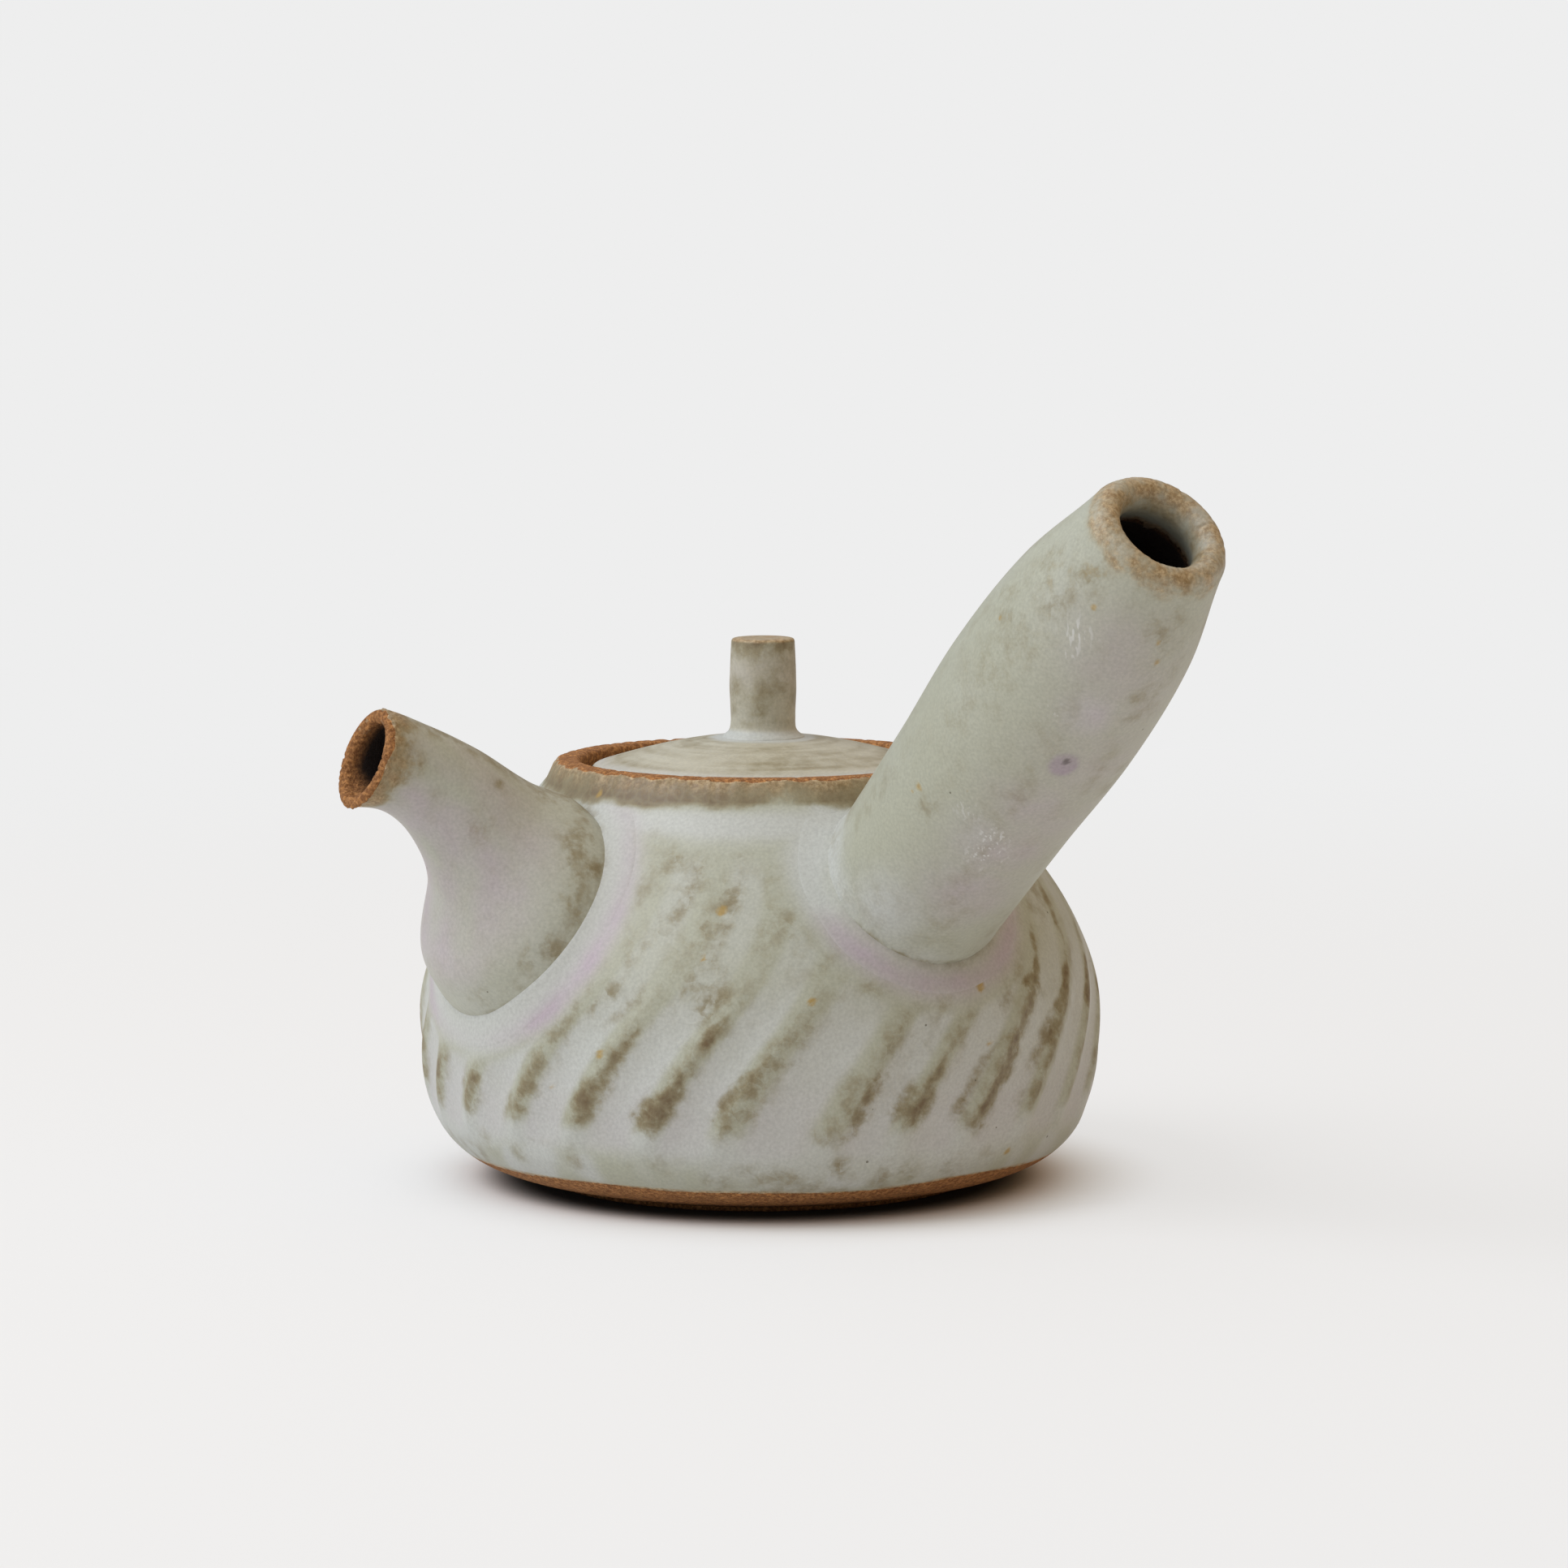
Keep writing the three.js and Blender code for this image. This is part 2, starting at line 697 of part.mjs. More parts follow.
const lid = new THREE.Group();
lid.position.set(lidRestShift * Math.cos(lidRestHeading), lidRestShift * Math.sin(lidRestHeading), 0);
lid.add(piece("lid", makeLid(), thinGlaze), piece("lid_knob", makeKnob(), thinGlaze));

const teapot = new THREE.Group();
teapot.add(pot, lid);

export default teapot;
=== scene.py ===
import math

import bpy
import numpy as np
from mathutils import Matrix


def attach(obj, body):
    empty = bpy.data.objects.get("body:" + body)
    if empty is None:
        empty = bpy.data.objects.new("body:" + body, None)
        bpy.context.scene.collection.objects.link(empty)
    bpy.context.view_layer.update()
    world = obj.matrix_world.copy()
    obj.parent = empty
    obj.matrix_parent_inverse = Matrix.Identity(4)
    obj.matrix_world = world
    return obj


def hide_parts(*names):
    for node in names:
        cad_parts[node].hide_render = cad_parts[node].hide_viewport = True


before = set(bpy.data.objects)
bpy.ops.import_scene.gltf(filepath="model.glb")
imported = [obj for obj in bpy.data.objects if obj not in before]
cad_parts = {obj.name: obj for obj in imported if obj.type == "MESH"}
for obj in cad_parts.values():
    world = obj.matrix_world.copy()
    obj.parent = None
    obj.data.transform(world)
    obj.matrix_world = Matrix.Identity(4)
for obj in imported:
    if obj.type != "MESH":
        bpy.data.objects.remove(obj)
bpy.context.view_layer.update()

# The pot's outline and its two joins. The spout and the hollow handle are thrown apart
# and luted to the shoulder a quarter turn from each other. Their roots are worked out
# first, because the flutes fade and the glaze pools all round them.

# Sizes are in mm and turns in radians, unless a name or a comment says otherwise.
MM = 0.001
belly_radius = 50.0
belly_height = 22.25
foot_radius = 31.9
foot_ease = 0.7
foot_swell = 5.6
foot_flare = 0.337
belly_drop = 21.2
belly_rise = 13.3
neck_radius = 31.2
neck_height = 58.4
shoulder_reach = 18.9
shoulder_slope = 0.696
rim_radius = 29.6
rim_height = 61.5
lower_steps = 40
upper_steps = 56


def bezier(corners, steps):
    """Points on a cubic curve: at share t the four corners count by (1-t)^3, 3t(1-t)^2, 3t^2(1-t) and t^3."""
    t = np.linspace(0, 1, steps + 1)[:, None]
    a, b, c, d = (np.array(corner, float) for corner in corners)
    return (1 - t) ** 3 * a + 3 * t * (1 - t) ** 2 * b + 3 * t**2 * (1 - t) * c + t**3 * d


foot_edge = (foot_radius, foot_ease)
foot_pull = (foot_radius + foot_swell * math.cos(foot_flare), foot_ease + foot_swell * math.sin(foot_flare))
belly_pull = (belly_radius, belly_height - belly_drop)
belly = (belly_radius, belly_height)
shoulder_pull = (belly_radius, belly_height + belly_rise)
neck_pull = (
    neck_radius + shoulder_reach * math.sin(shoulder_slope),
    neck_height - shoulder_reach * math.cos(shoulder_slope),
)
neck = (neck_radius, neck_height)
lower_side = bezier((foot_edge, foot_pull, belly_pull, belly), lower_steps)
upper_side = bezier((belly, shoulder_pull, neck_pull, neck), upper_steps)
pot_side = np.vstack([lower_side, upper_side[1:], [(rim_radius, rim_height)]])


def radius_at(height):
    """The pot's plain outer radius at a height, read off its outline."""
    return np.interp(height, pot_side[:, 1], pot_side[:, 0])


def smooth(value, low, high):
    """A soft step from 0 at low to 1 at high: three times the squared share, less twice its cube."""
    share = np.clip((value - low) / (high - low), 0, 1)
    return share * share * (3 - 2 * share)


def bell(value, middle, spread):
    """A bell curve, 1 at its middle: e to the minus squared distance in spreads."""
    return np.exp(-(((value - middle) / spread) ** 2))


def band(value, rise, fall):
    """Up from 0 to 1 over the rise and back to 0 over the fall, each a soft step between two values."""
    return smooth(value, *rise) * (1 - smooth(value, *fall))


def through(shares, along):
    """A smooth curve through evenly spaced shares: a cubic between each two, whose slope at each is half
    the difference of its neighbours."""
    shares = np.array(shares)
    last = len(shares) - 1
    place = np.asarray(along) * last
    start = np.minimum(np.floor(place).astype(int), last - 1)
    part = place - start
    before, here = shares[np.maximum(start - 1, 0)], shares[start]
    there, after = shares[start + 1], shares[np.minimum(start + 2, last)]
    leave, arrive = (there - before) / 2, (after - here) / 2
    cubic = 2 * here - 2 * there + leave + arrive
    square = 3 * there - 3 * here - 2 * leave - arrive
    return ((cubic * part + square) * part + leave) * part + here


# Each arm's axis bends through three places, and its half width and half height are
# shares of its radius, evenly spaced from the root to the tip.
spout_join = np.array((-43.73, 0.0, 42.2))
spout = {
    "heading": np.array((-1.0, 0, 0)),
    "axis": (spout_join + (6.0, 0, -8.0), spout_join + (-4.4, 0, 20.8), spout_join + (-22.9, 0, 23.2)),
    "leans": (0.956, 0.385),
    "radius": 16.7,
    "radius_shares": (0.955, 0.99, 0.598, 0.427, 0.348, 0.353),
    "height_shares": (0.881, 1.245),
}
handle_join = np.array((0.0, -39.86, 47.7))
handle_rise = 0.755
handle_inset = 14.0
handle_length = 77.15
handle_way = np.array((0, -math.cos(handle_rise), math.sin(handle_rise)))
handle_root = handle_join - handle_inset * handle_way
handle_end = handle_join + handle_length * handle_way
handle = {
    "heading": np.array((0, -1.0, 0)),
    "axis": (handle_root, (handle_root + handle_end) / 2, handle_end),
    "leans": (handle_rise, handle_rise),
    "radius": 14.7,
    "radius_shares": (0.88, 0.91, 0.94, 0.988, 0.913, 0.657),
    "height_shares": (1, 1),
}


def on_arm(arm, along, turn, grow=0, push=0):
    """A place on an arm: its axis is a quadratic curve, and round it stands a ring whose half width and
    half height follow the shares along the arm. Grow widens the ring, and push moves it the way it faces."""
    along, turn, grow, push = (np.asarray(v, float)[..., None] for v in (along, turn, grow, push))
    start, bend, end = arm["axis"]
    middle = (1 - along) ** 2 * start + 2 * along * (1 - along) * bend + along**2 * end
    lean = (1 - along) * arm["leans"][0] + along * arm["leans"][1]
    rise = np.array((0, 0, 1.0))
    facing = np.cos(lean) * arm["heading"] + np.sin(lean) * rise
    upright = np.cos(lean) * rise - np.sin(lean) * arm["heading"]
    side = np.cross(rise, arm["heading"])
    width = arm["radius"] * through(arm["radius_shares"], along)
    height = width * ((1 - along) * arm["height_shares"][0] + along * arm["height_shares"][1])
    across = (width + grow) * np.cos(turn) * side + (height + grow) * np.sin(turn) * upright
    return middle + push * facing + across


search_steps = 1200
crease_places = 160


def leaves_pot(arm, turns):
    """How far along an arm, at each turn, its outside leaves the pot: the last of many steps that lies
    within the pot's radius, and on from there to where the two radii match."""
    along = np.linspace(0, 1, search_steps)
    place = on_arm(arm, along[:, None], turns[None, :])
    height = np.minimum(place[..., 2], rim_height)
    over = np.hypot(place[..., 0], place[..., 1]) - radius_at(height)
    last = len(along) - 1 - np.argmax(over[::-1] <= 0, axis=0)
    under = np.take_along_axis(over, last[None], 0)[0]
    clear = np.take_along_axis(over, last[None] + 1, 0)[0]
    return along[last] + (along[1] - along[0]) * under / (under - clear)


def crease(arm):
    """The closed line of places where an arm meets the pot."""
    turns = np.arange(crease_places) * 2 * math.pi / crease_places
    return on_arm(arm, leaves_pot(arm, turns), turns)


spout_crease = crease(spout)
handle_crease = crease(handle)


def far_from(points, line):
    """Each point's distance to the nearest place on a line: the root of both squared lengths, less twice
    the dot product."""
    flat = points.reshape(-1, 3)
    squared = (flat**2).sum(1)[:, None] + (line**2).sum(1)[None] - 2 * flat @ line.T
    return np.sqrt(np.maximum(squared.min(1), 0)).reshape(points.shape[:-1])


# The glaze on the shoulder, which the pot and the coils share where they meet, so that
# neither shows its edge. Iron breaks through where the glaze lies thin, milk white
# pools where it lies thick, and a lilac blush follows both joins.

# Every glaze is given as masks, numbers from 0 to 1 at each point, which the material
# mixes into colours. The pairs are the heights, or distances, between which a mask
# comes up or fades.
seed = 11
chance = np.random.default_rng(seed)


def drawn_out(shape, waves_up, waves_round):
    """Soft noise on a grid that joins up both ways: random numbers as waves, each made weaker by e to the
    minus squared count, in units of waves_up over the rows and waves_round over the columns. It has a mean
    of 0 and a spread of 1."""
    waves = np.fft.fft2(chance.normal(size=shape))
    up = np.fft.fftfreq(shape[0])[:, None] * shape[0] / waves_up
    along = np.fft.fftfreq(shape[1])[None] * shape[1] / waves_round
    noise = np.fft.ifft2(waves * np.exp(-(up**2) - along**2)).real
    return (noise - noise.mean()) / noise.std()


def spots(points, marks):
    """Soft round marks, each a bell curve of the distance to its middle: (middle, spread, strength)."""
    total = np.zeros(points.shape[:-1])
    for middle, spread, strength in marks:
        away = np.sqrt(((points - np.array(middle)) ** 2).sum(-1))
        total = np.maximum(total, strength * bell(away, 0, spread))
    return total


def at_turn(degrees, height):
    """A place on the plain pot at a turn round it and a height."""
    turn = math.radians(degrees)
    radius = float(radius_at(height))
    return (radius * math.cos(turn), radius * math.sin(turn), height)


# Marks on the pot's side, each with its place (degrees round the pot, height), its
# spread and its strength: ochre specks, and clouds where the glaze lies thin.
pot_ochre = [
    (at_turn(-131, 44.3), 0.9, 1.0),
    (at_turn(-133.5, 38.3), 0.55, 0.9),
    (at_turn(-115.4, 32.6), 0.9, 0.85),
    (at_turn(-170.8, 58.6), 0.7, 0.8),
    (at_turn(-97, 33), 0.8, 0.55),
    (at_turn(-84, 33), 0.9, 0.8),
    (at_turn(-150.5, 24.7), 0.8, 0.75),
    (at_turn(-160.4, 19.4), 0.8, 0.75),
    (at_turn(-83, 25), 0.8, 0.75),
    (at_turn(-75.8, 8.7), 0.75, 1.0),
]
pot_clouds = [
    (at_turn(-108, 36), 8.0, 0.30),
    (at_turn(-97, 29), 8.0, 0.30),
    (at_turn(-104, 20), 7.0, 0.26),
    (at_turn(-149, 52), 4.5, 0.36),
    (at_turn(-146, 46), 4.0, 0.28),
    (at_turn(-120, 49), 4.5, 0.36),
    (at_turn(-122, 42), 4.5, 0.34),
    (at_turn(-136, 50), 3.5, 0.28),
    (at_turn(-138, 40), 4.5, 0.26),
    (at_turn(-146, 30), 4.0, 0.26),
    (at_turn(-72, 40), 9.0, 0.30),
    (at_turn(-60, 30), 9.0, 0.26),
    (at_turn(-179, 9.5), 2.6, 0.42),
    (at_turn(-170, 8.7), 2.5, 0.44),
    (at_turn(-157.3, 8.8), 3.0, 0.46),
    (at_turn(-141, 9.8), 2.4, 0.36),
    (at_turn(-110.5, 8.7), 2.4, 0.72),
    (at_turn(-98.3, 7.6), 3.2, 0.5),
    (at_turn(-89, 7.6), 3.2, 0.48),
    (at_turn(-81, 8.5), 2.2, 0.44),
]
collar_steps = 720
collar_noise = drawn_out((1, collar_steps), 1, 60)[0]
collar_drips = drawn_out((1, collar_steps), 1, 13)[0]
collar_line = 57.6
collar_edge = 0.7
collar_pool = 55.5
collar_brown_turn = -153
join_pool_spread = 3.6
spout_low_side = (38, 50)
handle_low_side = (41, 46)
spout_blush_foot = (22, 29)


def round_collar(noise, degrees):
    """The collar's noise at turns round the pot, read off between its steps."""
    step = np.mod(degrees * collar_steps / 360, collar_steps)
    return np.interp(step, np.arange(collar_steps), noise, period=collar_steps)


def shoulder_glaze(points):
    """How thin, pooled and blushed the glaze lies on the pot's side, from bell curves of the distance to the
    two creases, and how evenly it is thinned. Above a line that wanders by its drips, the collar is brown."""
    x, y, z = points[..., 0], points[..., 1], points[..., 2]
    degrees = np.degrees(np.arctan2(y, x))
    to_spout = far_from(points, spout_crease)
    to_handle = far_from(points, handle_crease)
    low = 1 - smooth(z, *spout_low_side)
    blush = bell(to_spout, 4.2, 1.7) * (0.5 + 0.45 * low) * smooth(z, *spout_blush_foot)
    below = 1 - smooth(z, *handle_low_side)
    blush = np.maximum(blush, bell(to_handle, 2.8, 2.0) * 0.85 * below)
    pool = bell(to_spout, 2.0, join_pool_spread)
    pool = np.maximum(pool, bell(to_handle, 3.0, join_pool_spread) * (0.85 - 0.4 * below))
    # Painted shade: a thin olive line along each crease, over the spout and under the handle.
    thin = 0.3 * bell(to_spout, 0.3, 0.8) * (1 - low)
    thin = np.maximum(thin, 0.25 * bell(to_handle, 0.3, 0.9) * below)
    thin = np.maximum(thin, 0.75 * spots(points, pot_clouds) * (1 - pool))
    fine = round_collar(collar_noise, degrees)
    line = collar_line - 0.32 * round_collar(collar_drips, degrees) - 0.1 * fine
    collar = smooth(z, line - collar_edge, line + collar_edge)
    collar_thin = 0.76 + 0.05 * fine + 0.08 * bell(z, line + 0.9, 0.9)
    collar_thin = collar_thin + 0.3 * bell(degrees, collar_brown_turn, 18)
    thin = thin * (1 - collar) + collar * collar_thin
    pool = np.maximum(pool, 0.95 * bell(z, collar_pool, 2.2)) * (1 - collar)
    return thin, pool, blush * (1 - collar), 0.8 * collar


# The pot itself, thrown on the wheel in coarse stoneware. Its belly is fluted with a
# loop tool in 27 cuts that lean to the right, and its mouth is turned with a ledge for
# the lid. It is dipped in a pale glaze down to just above the foot, bare inside.
flute_count = 27
flute_depth = 0.95
flute_foot = 8.0
flute_top = 56.0
flute_fade = 7.0
flute_margin = 2.5
flute_twist = 0.4276
flute_start = -3.4173
flute_columns = 26
flute_roundness = 2.2
flute_shallows = (22, 38)
ridge_softness = 0.07
skin_gap = 0.02
throwing_depth = 0.07
rim_grit = 0.075
# How far each ridge stands from an even pitch, as a share of it, and how high and how
# strongly the iron streak along it shows. The ridges count on from flute_start.
ridge_wander_shares = (
    -0.03, -0.09, -0.08, -0.14, -0.09, -0.16, 0.2, 0.1, 0.07, 0.12, 0.02, -0.05, 0.06, 0.1,
    -0.04, -0.1, 0.03, 0.08, -0.07, -0.02, 0.09, 0.05, -0.08, 0.04, 0.1, -0.03, 0.05,
)
streak_tops = (
    26, 22, 24, 30, 31, 27, 24, 26, 42, 44, 36, 33, 26, 28,
    31, 27, 25, 29, 30, 26, 28, 31, 27, 25, 29, 28, 26,
)
streak_shares = (
    0.7, 0.7, 0.75, 0.95, 0.95, 0.6, 0.9, 1, 1, 0.9, 0.8, 0.8, 0.9, 0.7,
    0.85, 1, 0.8, 0.7, 0.9, 0.8, 0.95, 0.75, 0.9, 0.85, 0.7, 0.8, 0.75,
)
streak_aside = np.full(flute_count, 0.25)
streak_aside[[3, 6, 8, 9]] = (0.8, 2.2, 1.2, -0.6)
streak_width = 2.5
streak_foot = (10.5, 17)
streak_narrows = (17, 30)
streak_thins_out = (30, 38)
faint_foot = (12, 16)
faint_top = (26, 36)
smear_band = (24, 34), (51, 57)
hollow_side = (1.0, 3.4)
hollow_top = (24, 40)
hollow_blush = (8, 11), (14, 26)
low_pool_foot = (4.0, 12.0)
low_pool_top = (12.5, 16)
foot_pool = (4.5, 6), (9, 13)
low_patch_band = (6.0, 8.0), (9.5, 13.0)
dip_line = 5.0
dip_edge = 0.35
dip_rise = 0.6
dip_rise_turn = -80
browned_from = 58.0
pot_wall = 3.6
floor_thickness = 5.0
mouth_radius = 26.2
gallery_height = 57.3
gallery_radius = 23.4
gallery_lip = 55.6
hole_radius = 10.5


def eased(corners, steps=6):
    """A line of (radius, height, ease) corners, each rounded by a quadratic curve that starts and ends its
    ease away from the corner."""
    places = []
    for i, (radius, height, ease) in enumerate(corners):
        corner = np.array((radius, height))
        if ease == 0:
            places.append(corner)
            continue
        back = np.array(corners[i - 1][:2]) - corner
        on = np.array(corners[i + 1][:2]) - corner
        start = corner + ease * back / np.hypot(*back)
        end = corner + ease * on / np.hypot(*on)
        for t in np.linspace(0, 1, steps + 1):
            places.append((1 - t) ** 2 * start + 2 * t * (1 - t) * corner + t * t * end)
    return np.array(places)


def beside(line, distance):
    """A line of (radius, height) places moved square to itself, inwards for a negative distance."""
    way = np.gradient(line, axis=0)
    way /= np.hypot(way[:, 0], way[:, 1])[:, None]
    return line + distance * np.stack([way[:, 1], -way[:, 0]], -1)


def skin(name, rows, masks, loop=False):
    """A mesh of squares between rows of points, each row a closed ring. As a loop the last row joins the
    first; otherwise each end row is one point. The masks, a number for each point, become attributes."""
    count, around = rows.shape[:2]
    number = np.arange(count * around).reshape(count, around)
    if not loop:
        number[0], number[-1] = number[0, 0], number[-1, 0]
    low = number if loop else number[:-1]
    high = np.roll(number, -1, 0) if loop else number[1:]
    faces = np.stack([low, np.roll(low, -1, 1), np.roll(high, -1, 1), high], -1).reshape(-1, 4)
    used, faces = np.unique(faces, return_inverse=True)
    faces = faces.reshape(-1, 4)
    first = faces[:, 0] == faces[:, 1]
    last = faces[:, 2] == faces[:, 3]
    corners = faces[~first & ~last].tolist()
    corners += faces[first][:, (0, 2, 3)].tolist() + faces[last][:, :3].tolist()
    mesh = bpy.data.meshes.new(name)
    mesh.from_pydata((rows.reshape(-1, 3)[used] * MM).tolist(), [], corners)
    for mask, values in masks.items():
        layer = mesh.attributes.new(mask, "FLOAT", "POINT")
        values = np.broadcast_to(values, (count, around)).reshape(-1)[used]
        layer.data.foreach_set("value", np.clip(values, 0, 1).astype(np.float32))
    mesh.shade_smooth()
    piece = bpy.data.objects.new(name, mesh)
    bpy.context.scene.collection.objects.link(piece)
    return piece


def turned(outline, columns, middle=(0, 0, 0), toward=(0, 0, 1)):
    """An outline of (radius, height) places turned round an axis through a place, as rows of points: the
    middle, plus the radius times the cosine and sine of the turn, plus the height along the axis."""
    turn = np.arange(columns) * 2 * math.pi / columns
    rise = np.array(toward, float) / np.linalg.norm(toward)
    sidelong = np.array((0, 1.0, 0)) if abs(rise[1]) < 0.9 else np.array((1.0, 0, 0))
    side = np.cross(sidelong, rise)
    side /= np.linalg.norm(side)
    across = np.cross(rise, side)
    ring = np.cos(turn)[:, None] * side + np.sin(turn)[:, None] * across
    outline = np.asarray(outline)
    return np.array(middle) + outline[:, 0, None, None] * ring + outline[:, 1, None, None] * rise


crisp_angle = math.radians(50)


def bored(piece, cutters):
    """The piece with closed cutters taken out of it, its new edges kept crisp. The cutters are deleted."""
    for cutter in cutters:
        cut = piece.modifiers.new("bore", "BOOLEAN")
        cut.operation = "DIFFERENCE"
        cut.solver = "MANIFOLD"
        cut.object = cutter
    whole = bpy.context.evaluated_depsgraph_get()
    mesh = bpy.data.meshes.new_from_object(piece.evaluated_get(whole))
    piece.modifiers.clear()
    piece.data = mesh
    mesh.set_sharp_from_angle(angle=crisp_angle)
    for cutter in cutters:
        bpy.data.objects.remove(cutter)
    return piece


# The outline runs from the middle of the base up the outside, over the rim, down the
# mouth and its ledge, and down the inside to the middle of the floor.
outside = np.vstack([
    eased([(0, 0, 0), (14, 0, 0), (foot_radius, 0, foot_ease * 0.98), (foot_radius, foot_ease, 0)], 4)[:-1],
    lower_side,
    upper_side[1:],
])
mouth = eased([
    (neck_radius, neck_height, 0),
    (rim_radius + 0.15, rim_height, 1.2),
    (mouth_radius, rim_height, 1.1),
    (mouth_radius, gallery_height, 0.35),
    (gallery_radius, gallery_height, 0.35),
    (gallery_radius, gallery_lip, 0.5),
    (gallery_radius + 4, gallery_lip - 1.2, 0),
])[1:]
inner_upper = beside(bezier((belly, shoulder_pull, neck_pull, neck), 15), -pot_wall)[::-1]
inner_lower = beside(bezier((foot_edge, foot_pull, belly_pull, belly), 13), -pot_wall)[::-1]
inside = np.vstack([
    inner_upper[inner_upper[:, 1] < gallery_lip - 2.2],
    inner_lower[1:][inner_lower[1:, 1] > floor_thickness + 1.5],
    [(foot_radius, floor_thickness), (foot_radius / 2, floor_thickness), (0, floor_thickness)],
])
outline = np.vstack([outside, mouth, inside])
is_outside = (np.arange(len(outline)) < len(outside))[:, None]
is_mouth = ~is_outside & (np.arange(len(outline)) < len(outside) + len(mouth))[:, None]
radius, height = outline[:, 0, None], outline[:, 1, None]

# The columns lead round the pot with the flutes, which lean as far as the twist turns
# them and straighten towards the collar. Each flute is a hollow, deepest midway between
# its ridges, that fades out at its ends and round the two joins.
column = np.arange(flute_count * flute_columns)[None]
ridge, across = column // flute_columns, (column % flute_columns) / flute_columns
wander = np.array(ridge_wander_shares)
place = ridge + across + wander[ridge] * (1 - across) + wander[(ridge + 1) % flute_count] * across
twist = flute_twist * np.where(is_outside, smooth(height, flute_foot, flute_top - flute_fade), 1)
turn = flute_start + place * 2 * math.pi / flute_count + twist
plain = np.stack([radius * np.cos(turn), radius * np.sin(turn), height + 0 * turn], -1)
ends = smooth(height, flute_foot, flute_foot + flute_fade)
ends = ends * (1 - smooth(height, flute_top - 2 * flute_fade, flute_top))
for join, arm in ((spout_join, spout), (handle_join, handle)):
    away = np.sqrt(((plain - join) ** 2).sum(-1))
    ends = ends * smooth(away, arm["radius"] + flute_margin, arm["radius"] + flute_margin + flute_fade)
off_ridge = np.sqrt(np.minimum(across, 1 - across) ** 2 + ridge_softness**2) - ridge_softness
cut = (1 - (1 - 2 * off_ridge) ** flute_roundness) * (1 - 0.93 * smooth(height, *flute_shallows))
uneven = drawn_out((len(outline), column.size), 7, 9)
rolling = throwing_depth * uneven * smooth(height, 6, 12) * (1 - bell(height, 22, 6))
drawn = radius - np.where(is_outside, skin_gap + flute_depth * cut * ends, 0)
drawn = drawn + np.where(is_outside, rolling, 0)
rough = drawn_out((len(outline), column.size), 16, 110)
rim_rough = rim_grit * rough * smooth(height, rim_height - 1.6, rim_height - 0.5) * is_mouth
drawn = drawn + rim_rough
lifted = height + 0 * turn + np.minimum(rim_rough, 0)
pot_rows = np.stack([drawn * np.cos(turn), drawn * np.sin(turn), lifted], -1)

# The glaze on the fluted belly. A broken streak of iron runs along each ridge, wider
# and stronger low down, with a fainter band under it. Brushed smears lie on the
# shoulder, white pools in the hollows and above the foot, and a few patches are thin.
thin, pool, blush, even = shoulder_glaze(plain)
pitch = 2 * math.pi * radius / flute_count
beside_ridge = np.minimum(across, 1 - across) * pitch
past_ridge = np.where(across < 0.5, across, across - 1) * pitch
nearest = np.where(across < 0.5, ridge, (ridge + 1) % flute_count)
top = np.array(streak_tops)[nearest] + 1.2 * uneven
strength = np.array(streak_shares)[nearest]
frayed = drawn_out((len(outline), column.size), 24, 60)
smeared = drawn_out((len(outline), column.size), 10, 52)
wide = streak_width + 0.5 * uneven + 0.5 * frayed
wide = wide * (1 - 0.35 * smooth(height, *streak_narrows) - 0.25 * smooth(height, *streak_thins_out))
beads = np.clip(0.82 + 0.24 * frayed, 0.66, 1.1)
streak = bell(past_ridge + 0.3 * frayed, streak_aside[nearest], wide)
streak = streak * smooth(height + uneven, *streak_foot) * (1 - smooth(height, top - 5, top + 6))
streak = streak * strength * beads
faint = (0.38 - 0.16 * smooth(height, *faint_top)) * bell(past_ridge, 0.7, 3.3)
faint = faint * smooth(height, *faint_foot)
shown = smooth(ends, 0.05, 0.6)
thin = np.maximum(thin, np.maximum(streak, faint) * shown)
smears = (0.15 + 0.16 * smeared) * band(height, *smear_band)
thin = np.maximum(thin, smears * (1 - 0.8 * blush) * (1 - 0.8 * pool))
hollow = smooth(beside_ridge, *hollow_side) * shown
pool = np.maximum(pool, hollow * (0.42 + 0.42 * (1 - smooth(height, *hollow_top))))
wave = 1.1 * uneven + 0.5 * frayed
pool = np.maximum(pool, 0.85 * smooth(height + wave, *low_pool_foot) * (1 - smooth(height, *low_pool_top)))
pool = np.maximum(pool, (0.45 + 0.25 * smeared) * band(height, *foot_pool))
blush = np.maximum(blush, 0.22 * hollow * band(height, *hollow_blush))
# Patches of thin olive glaze low on the belly, where it turns under; they also paint shade there.
low_patches = np.clip(0.16 + 0.1 * uneven + 0.1 * frayed, 0, 0.32)
thin = np.maximum(thin, low_patches * band(height + wave, *low_patch_band))

# Bare clay shows below the line of the dip, which wanders and rises once, on the worn
# edge of the rim, and inside. The glaze is thin and browned just under the rim.
degrees = np.degrees(turn)
from_dip_rise = (degrees - dip_rise_turn + 180) % 360 - 180
glaze_line = dip_line + dip_rise * bell(from_dip_rise, 0, 14)
glaze_line = glaze_line + 0.2 * np.sin(turn * 4) + 0.1 * np.sin(turn * 11)
bare = np.where(is_outside, 1 - smooth(height, glaze_line - dip_edge, glaze_line + dip_edge), 1)
browned = 0.19 * smooth(height, browned_from, rim_height - 0.4)
rim_line = rim_height - 0.3 - 0.12 * round_collar(collar_noise, degrees)
on_rim = is_mouth & (radius > rim_radius - 1)
bare = np.maximum(bare, np.where(is_outside, browned, 0))
bare = np.where(on_rim, np.maximum(smooth(height, rim_line - 0.3, rim_line + 0.3), browned), bare)
near_rim = 0.84 * smooth(height, rim_height - 2.0, rim_height - 0.6)
thin = np.where(is_outside | on_rim, np.maximum(thin, near_rim), 0.5)
# Painted shade: the clay darkens at the foot's bottom edge, where the pot meets the floor, and by half over
# all the inside below the lid's seat.
shade_and_pit = np.where(is_outside, 0.2 * (1 - smooth(height, 0.1, 0.9)), np.where(is_mouth, 0, 0.5))
